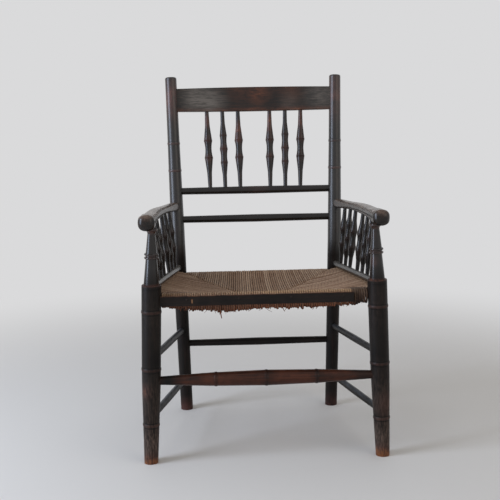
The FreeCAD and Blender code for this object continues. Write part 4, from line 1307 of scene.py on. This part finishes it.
    def stations(self, side: Side) -> np.ndarray:
        """Spreads the cords along a rail, from post to post.

        Args:
            side: The rail.

        Returns:
            u of each front or back cord, v of each side cord.
        """
        if side in (Side.FRONT, Side.BACK):
            post, v = (self.front_post, 0.0) if side is Side.FRONT else (self.back_post, 1.0)
            clear = post[0][0] - self.post_gap - self.pitch / 2
            return np.linspace(-clear, clear, int(2 * clear / self.pitch) + 1) / float(
                self.side_rail(self.depth_at(v))[0])
        first = self.front_post[1][1] + self.post_gap + self.pitch / 2
        last = self.back_post[0][1] - self.post_gap - self.pitch / 2
        return (np.linspace(first, last, int((last - first) / self.pitch) + 1) - self.front.y) / self.depth

    def slack(self, side: Side, station: float) -> float:
        """Draws how far a cord hangs off the underside of its rail.

        Args:
            side: Rail that the cord is wound over.
            station: u of a front or back cord, v of a side cord.

        Returns:
            The slack.
        """
        if side is not Side.FRONT:
            return self.other_slack * float(self.chance.random())
        x = station * float(self.side_rail(self.front.y)[0])
        if abs(x - self.knot_place) < self.pitch * self.knot_reach:
            return self.knot_hang
        swell = sum(drop * math.exp(-((x - place) / reach) ** 2) for place, reach, drop in self.swells)
        swell += self.middle_hang * (1 - (x / float(self.front_post[0][0])) ** self.hang_power)
        return self.least_hang + swell + self.hang_uneven * float(self.chance.normal())

    def taut(self, reach: np.ndarray) -> np.ndarray:
        """Share of a rail's pull on a cord at a distance from the rail."""
        return np.exp(-(reach / self.edge_fade) ** 2)

    def lay(self, side: Side, station: float) -> CordRun:
        """Lays the line of one cord: under the seat, round the rail and over to its seam.

        Args:
            side: Rail that the cord is wound over.
            station: u of a front or back cord, v of a side cord.

        Returns:
            The line.
        """
        stop, slack = self.seam(side, station), self.slack(side, station)
        share = np.linspace(0, 1, self.run_points) ** self.run_crowd
        if side in (Side.FRONT, Side.BACK):
            begin = 0.0 if side is Side.FRONT else 1.0
            v = begin + (stop - begin) * share
            u = np.full_like(v, station)
            inward = np.array([0.0, 1.0 if side is Side.FRONT else -1.0, 0.0])
            across = np.array([1.0, 0.0, 0.0])
        else:
            sign = -1.0 if side is Side.LEFT else 1.0
            u = sign * (1 + (stop - 1) * share)
            v = np.full_like(u, station)
            inward = np.array([-sign, 0.0, 0.0])
            across = np.array([0.0, 1.0, 0.0])
        y = self.depth_at(v)
        x = u * self.side_rail(y)[0]
        upper = np.stack([x, y, self.top(u, v)], axis=1)
        lower = np.stack([x, y, self.under(u, v)], axis=1)
        axis = np.array([x[0], y[0], self.rail_height(side, float(v[0]))])
        reach = np.linalg.norm(upper[:, :2] - upper[0, :2], axis=1)
        hang = slack * np.exp(-(reach / self.hang_fade) ** 2)
        upper[:, 2] += (axis[2] + self.wrap - upper[0, 2]) * self.taut(reach)
        lower[:, 2] += (axis[2] - self.wrap - lower[0, 2]) * self.taut(reach) - hang
        end = np.clip((reach - reach[-1] + self.dive_reach) / self.dive_reach, 0, 1) ** 2
        upper[:, 2] -= self.dive * end
        lower[:, 2] += self.dive * end
        swing = np.linspace(-math.pi / 2, math.pi / 2, self.bend_points + 2)[1:-1]
        bend = axis - np.outer(np.cos(swing) * self.wrap, inward)
        bend[:, 2] = axis[2] + np.sin(swing) * self.wrap - slack * np.clip(-np.sin(swing), 0, 1)
        path = np.concatenate([lower[::-1], bend, upper])
        path += self.chance.normal(0, self.stray, (1, 3)) * (1, 1, 0)
        path[:, 2] -= self.settle * abs(self.chance.normal())
        return CordRun(path, across, reach, swing, float(x[0]))

    def age(self, side: Side, run: CordRun) -> dict[str, np.ndarray]:
        """Draws how a cord has aged along its line.

        Args:
            side: Rail that the cord is wound over.
            run: Line of the cord.

        Returns:
            The red of its hidden stretch, its rubbing, its darkening and its own shade, one number per
            point.
        """
        wear, face = self.wear, len(run.reach)
        hidden = np.concatenate([np.ones(face), np.linspace(1, 0, len(run.swing)), np.zeros(face)])
        rubbed = np.concatenate([
            np.zeros(face), np.clip(np.sin(run.swing) * wear.rub_rise - wear.rub_start, 0, 1),
            np.exp(-(run.reach / wear.rub_fade) ** 2)])
        # The front edge is rubbed tan, and more so on the right: a painted highlight where that part of the
        # edge catches the light.
        if side is Side.FRONT:
            rubbed *= wear.front_rub + wear.front_painted_highlight * float(np.sign(run.start))
        else:
            rubbed *= wear.other_rub
        if side is Side.BACK:
            rubbed = np.maximum(rubbed, wear.back_least)
        # Darker towards the left and below the seat, and dirtier where the broken lath left the cords bare.
        darkening = wear.left_darkening * np.clip(-run.path[:, 0] / wear.left_reach, 0, 1)
        darkening += hidden * (wear.hidden_darkening + wear.hidden_more * self.chance.random())
        if side is Side.FRONT and run.start > self.strip_end:
            darkening += wear.bare_soil
            rubbed, hidden = rubbed * wear.bare_rub, hidden * wear.bare_red
        return {"under": hidden, "worn": rubbed, "dirt": np.clip(darkening, 0, 1),
                "shade": np.full(len(run.path), self.chance.random())}

    def wind(self, cords: CordMesh, side: Side, station: float) -> None:
        """Adds one cord.

        Args:
            cords: Mesh that takes the cord.
            side: Rail that the cord is wound over.
            station: u of a front or back cord, v of a side cord.
        """
        run = self.lay(side, station)
        size = len(run.path)
        spread = np.ones(size)
        if side in (Side.FRONT, Side.BACK) and abs(run.start) > MM:
            spread = np.abs(run.path[:, 0] / run.start)
        lumps = np.sin(np.arange(size) * self.lump_step + self.chance.random() * self.lump_shift)
        wide = self.pitch / 2 * spread * (1 + self.lump * lumps)
        loose = 1 - self.taut(run.reach)
        flat = np.concatenate([loose[::-1], np.zeros(len(run.swing)), loose])
        thick = self.wrap_half + (self.run_half - self.wrap_half) * flat
        cords.add(run.path, np.tile(run.across, (size, 1)), wide, thick, **self.age(side, run))

    def fray(self, cords: CordMesh) -> None:
        """Adds the broken leaves below the front edge, the long one last.

        Args:
            cords: Mesh that takes the leaves.
        """
        leaves, half = self.leaves, float(self.front_post[0][0])
        steps, ones = np.linspace(0, 1, leaves.points), np.ones(leaves.points)
        for x in list(self.chance.uniform(-half, half, leaves.count)) + [leaves.long_place]:
            last = x == leaves.long_place
            length = leaves.long_length if last else self.chance.uniform(*leaves.length)
            lean = self.chance.normal(0, leaves.long_lean if last else leaves.lean)
            start = self.front.z - self.wrap - self.slack(Side.FRONT, x / half)
            depth = self.front.y - self.wrap * self.chance.uniform(*leaves.inset)
            path = np.stack([x + length * lean * steps ** leaves.bow,
                             depth - leaves.curl * np.sin(steps * leaves.curl_turn),
                             start + leaves.tuck - length * steps], axis=1)
            wide = leaves.long_width if last else self.chance.uniform(*leaves.width)
            wide = wide * (1 - leaves.taper * steps)
            cords.add(path, np.tile([1.0, 0.0, 0.0], (leaves.points, 1)), wide, wide * leaves.flatness,
                      under=ones, worn=ones * 0, dirt=ones * leaves.darkening, shade=ones * self.chance.random())

    def pack(self, material: bpy.types.Material) -> bpy.types.Object:
        """Makes the pad of loose leaves between the upper and lower cords.

        Args:
            material: Finish of the rush.

        Returns:
            The pad.
        """
        pad, count = self.packing, self.packing.rows
        layer = count * count
        u, v = np.meshgrid(np.linspace(-pad.across, pad.across, count), np.linspace(*pad.along, count))
        y = self.depth_at(v)
        x = u * self.side_rail(y)[0]
        posts = (self.front_post.mean(0), self.back_post.mean(0))
        far = np.min([np.hypot(np.abs(x) - post[0], y - post[1]) for post in posts], axis=0)
        sink = pad.sink + pad.deeper * np.clip((far - pad.near) / pad.fade, 0, 1)
        upper = np.stack([x, y, self.top(u, v) - sink], axis=-1).reshape(-1, 3)
        lower = np.stack([x, y, self.under(u, v) + sink], axis=-1).reshape(-1, 3)
        clear = (far > pad.clear).reshape(-1)
        faces = []
        for row in range(count - 1):
            for column in range(count - 1):
                ring = [row * count + column, row * count + column + 1,
                        (row + 1) * count + column + 1, (row + 1) * count + column]
                if all(clear[corner] for corner in ring):
                    faces += [ring, [corner + layer for corner in reversed(ring)]]
        edges = {(ring[k], ring[(k + 1) % 4]) for ring in faces[::2] for k in range(4)}
        faces += [[b, a, a + layer, b + layer] for a, b in sorted(edges) if (b, a) not in edges]
        mesh = bpy.data.meshes.new("rush_packing")
        mesh.from_pydata(np.concatenate([upper, lower]).tolist(), [], faces)
        for name, value in pad.marks:
            mark(mesh, name, np.full(len(mesh.vertices), value))
        mesh.materials.append(material)
        piece = bpy.data.objects.new("rush_packing", mesh)
        bpy.context.scene.collection.objects.link(piece)
        return piece

    def build(self) -> None:
        """Packs the seat and winds the cords of each rail."""
        material = self.finish.make()
        pieces = [self.pack(material)]
        for side in Side:
            cords = CordMesh()
            for station in self.stations(side):
                self.wind(cords, side, float(station))
            if side is Side.FRONT:
                self.fray(cords)
            pieces.append(cords.build("rush_" + side.value, material))
        for piece in pieces:
            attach(piece, BODY)
            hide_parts("rush_seat")
            LOG.info("%s: %d faces", piece.name, len(piece.data.polygons))


@dataclass(frozen=True)
class Lamp:
    """Soft lamp that faces the chair.

    Attributes:
        name: Name of the lamp.
        place: Where it hangs.
        size: Its width and height.
        power: Its watts.
        colour: Colour of its light.
    """

    name: str
    place: Point
    size: tuple[float, float]
    power: float
    colour: str

    def hang(self) -> None:
        """Adds the lamp to the scene."""
        data = bpy.data.lights.new(self.name, "AREA")
        data.shape = "RECTANGLE"
        data.size, data.size_y = self.size
        data.energy = self.power
        data.color = linear(self.colour)[:3]
        lamp = bpy.data.objects.new(self.name, data)
        lamp.location = self.place
        middle = Vector((0.0, 0.0, CAD_BOX[1][2] / 2))
        lamp.rotation_euler = (middle - Vector(self.place)).to_track_quat("-Z", "Y").to_euler()
        bpy.context.scene.collection.objects.link(lamp)


@dataclass
class Studio:
    """Pale floor, soft daylight from the left and the camera of the photograph's view.

    Attributes:
        floor: Colour of the paper on the floor.
        floor_rough: Roughness of the paper.
        floor_reach: Half the width of the paper.
        backdrop: Colour that the eye and reflections see round the chair.
        fade_near: Distance at which the floor starts to fade into the backdrop.
        fade_far: Distance at which it has.
        room: Colour of the room's light.
        room_strength: Strength of the room's light.
        lamps: Cool light of a window on the left and a weak, warm fill.
        lens: Focal length of the camera in millimetres.
        sensor: Width of its sensor in millimetres.
        stand: Where the camera stands.
        right: Way to the right of its picture.
        upward: Way to the top of its picture.
        ahead: Way that it looks.
    """

    floor: str = "#dedad4"
    floor_rough: float = 0.9
    floor_reach: float = 12.0
    backdrop: str = "#dadadb"
    fade_near: float = 0.7
    fade_far: float = 1.9
    room: str = "#f4f6fa"
    room_strength: float = 0.55
    lamps: tuple[Lamp, ...] = (Lamp("window", (-2.15, -0.85, 1.05), (0.9, 2.0), 54.0, "#d3e0f6"),
                               Lamp("fill", (2.4, -2.4, 1.8), (2.0, 2.0), 15.0, "#fff3e4"))
    lens: float = 63.19
    sensor: float = 36.0
    stand: Point = (-0.1031, -2.0361, 0.7551)
    right: Point = (0.9989492, -0.04198348, -0.01838178)
    upward: Point = (0.02457, 0.15200282, 0.98807462)
    ahead: Point = (0.03868873, 0.98748799, -0.15287463)

    def build(self) -> None:
        """Makes the floor, the light and the camera."""
        self.lay_floor()
        for lamp in self.lamps:
            lamp.hang()
        self.light_room()
        self.point_camera()

    @staticmethod
    def seen(tree: Tree) -> Socket:
        """Tells the rays that the eye follows from those that only carry light.

        Args:
            tree: Node tree that asks.

        Returns:
            One where a ray comes from the camera, a reflection or glass.
        """
        path = add_node(tree, "LightPath").outputs
        seen = add_node(tree, "Math", {0: path["Is Camera Ray"], 1: path["Is Glossy Ray"]},
                        operation="ADD").outputs[0]
        return add_node(tree, "Math", {0: seen, 1: path["Is Transmission Ray"]}, operation="ADD",
                        use_clamp=True).outputs[0]

    def lay_floor(self) -> None:
        """Lays a wide sheet of pale paper that fades into the backdrop."""
        reach = self.floor_reach
        mesh = bpy.data.meshes.new("floor")
        corners = [(-reach, -reach, 0), (reach, -reach, 0), (reach, reach, 0), (-reach, reach, 0)]
        mesh.from_pydata(corners, [], [(0, 1, 2, 3)])
        material, tree = blank_material("floor_paper")
        place = add_node(tree, "TexCoord").outputs["Object"]
        far = add_node(tree, "VectorMath", {0: place}, operation="LENGTH").outputs["Value"]
        fade = add_node(tree, "MapRange", {"Value": far, "From Min": self.fade_near,
                                           "From Max": self.fade_far},
                        interpolation_type="SMOOTHSTEP").outputs[0]
        fade = add_node(tree, "Math", {0: fade, 1: self.seen(tree)}, operation="MULTIPLY").outputs[0]
        paper = add_node(tree, "BsdfPrincipled", {"Base Color": linear(self.floor),
                                                  "Roughness": self.floor_rough})
        glow = add_node(tree, "Emission", {"Color": linear(self.backdrop), "Strength": 1.0})
        both = add_node(tree, "MixShader", {0: fade, 1: paper.outputs[0], 2: glow.outputs[0]})
        add_node(tree, "OutputMaterial", {"Surface": both.outputs[0]})
        mesh.materials.append(material)
        floor = bpy.data.objects.new("floor", mesh)
        bpy.context.scene.collection.objects.link(floor)

    def light_room(self) -> None:
        """Fills the room with pale light and shows the backdrop behind the chair."""
        world = bpy.data.worlds.new("pale_room")
        world.use_nodes = True
        tree = world.node_tree
        tree.nodes.clear()
        shown = add_node(tree, "Background", {"Color": linear(self.backdrop), "Strength": 1.0})
        light = add_node(tree, "Background", {"Color": linear(self.room), "Strength": self.room_strength})
        both = add_node(tree, "MixShader", {0: self.seen(tree), 1: light.outputs[0], 2: shown.outputs[0]})
        add_node(tree, "OutputWorld", {"Surface": both.outputs[0]})
        bpy.context.scene.world = world

    def point_camera(self) -> None:
        """Puts the camera where the photograph was taken from."""
        data = bpy.data.cameras.new("camera")
        data.lens = self.lens
        data.sensor_width = self.sensor
        camera = bpy.data.objects.new("camera", data)
        turn = Matrix((self.right, self.upward, tuple(-v for v in self.ahead))).transposed()
        camera.matrix_world = Matrix.Translation(self.stand) @ turn.to_4x4()
        bpy.context.scene.collection.objects.link(camera)
        bpy.context.scene.camera = camera


def main() -> None:
    """Builds the stage, dresses the frame and winds the seat."""
    logging.basicConfig(level=logging.INFO, format="%(name)s: %(message)s")
    bpy.context.scene.view_settings.view_transform = "Standard"
    Studio().build()
    for group in (Posts(), Stretchers(), BackFrame(), ArmPair(), SeatFrame()):
        group.dress()
    RushSeat().build()


if __name__ == "__main__":
    main()
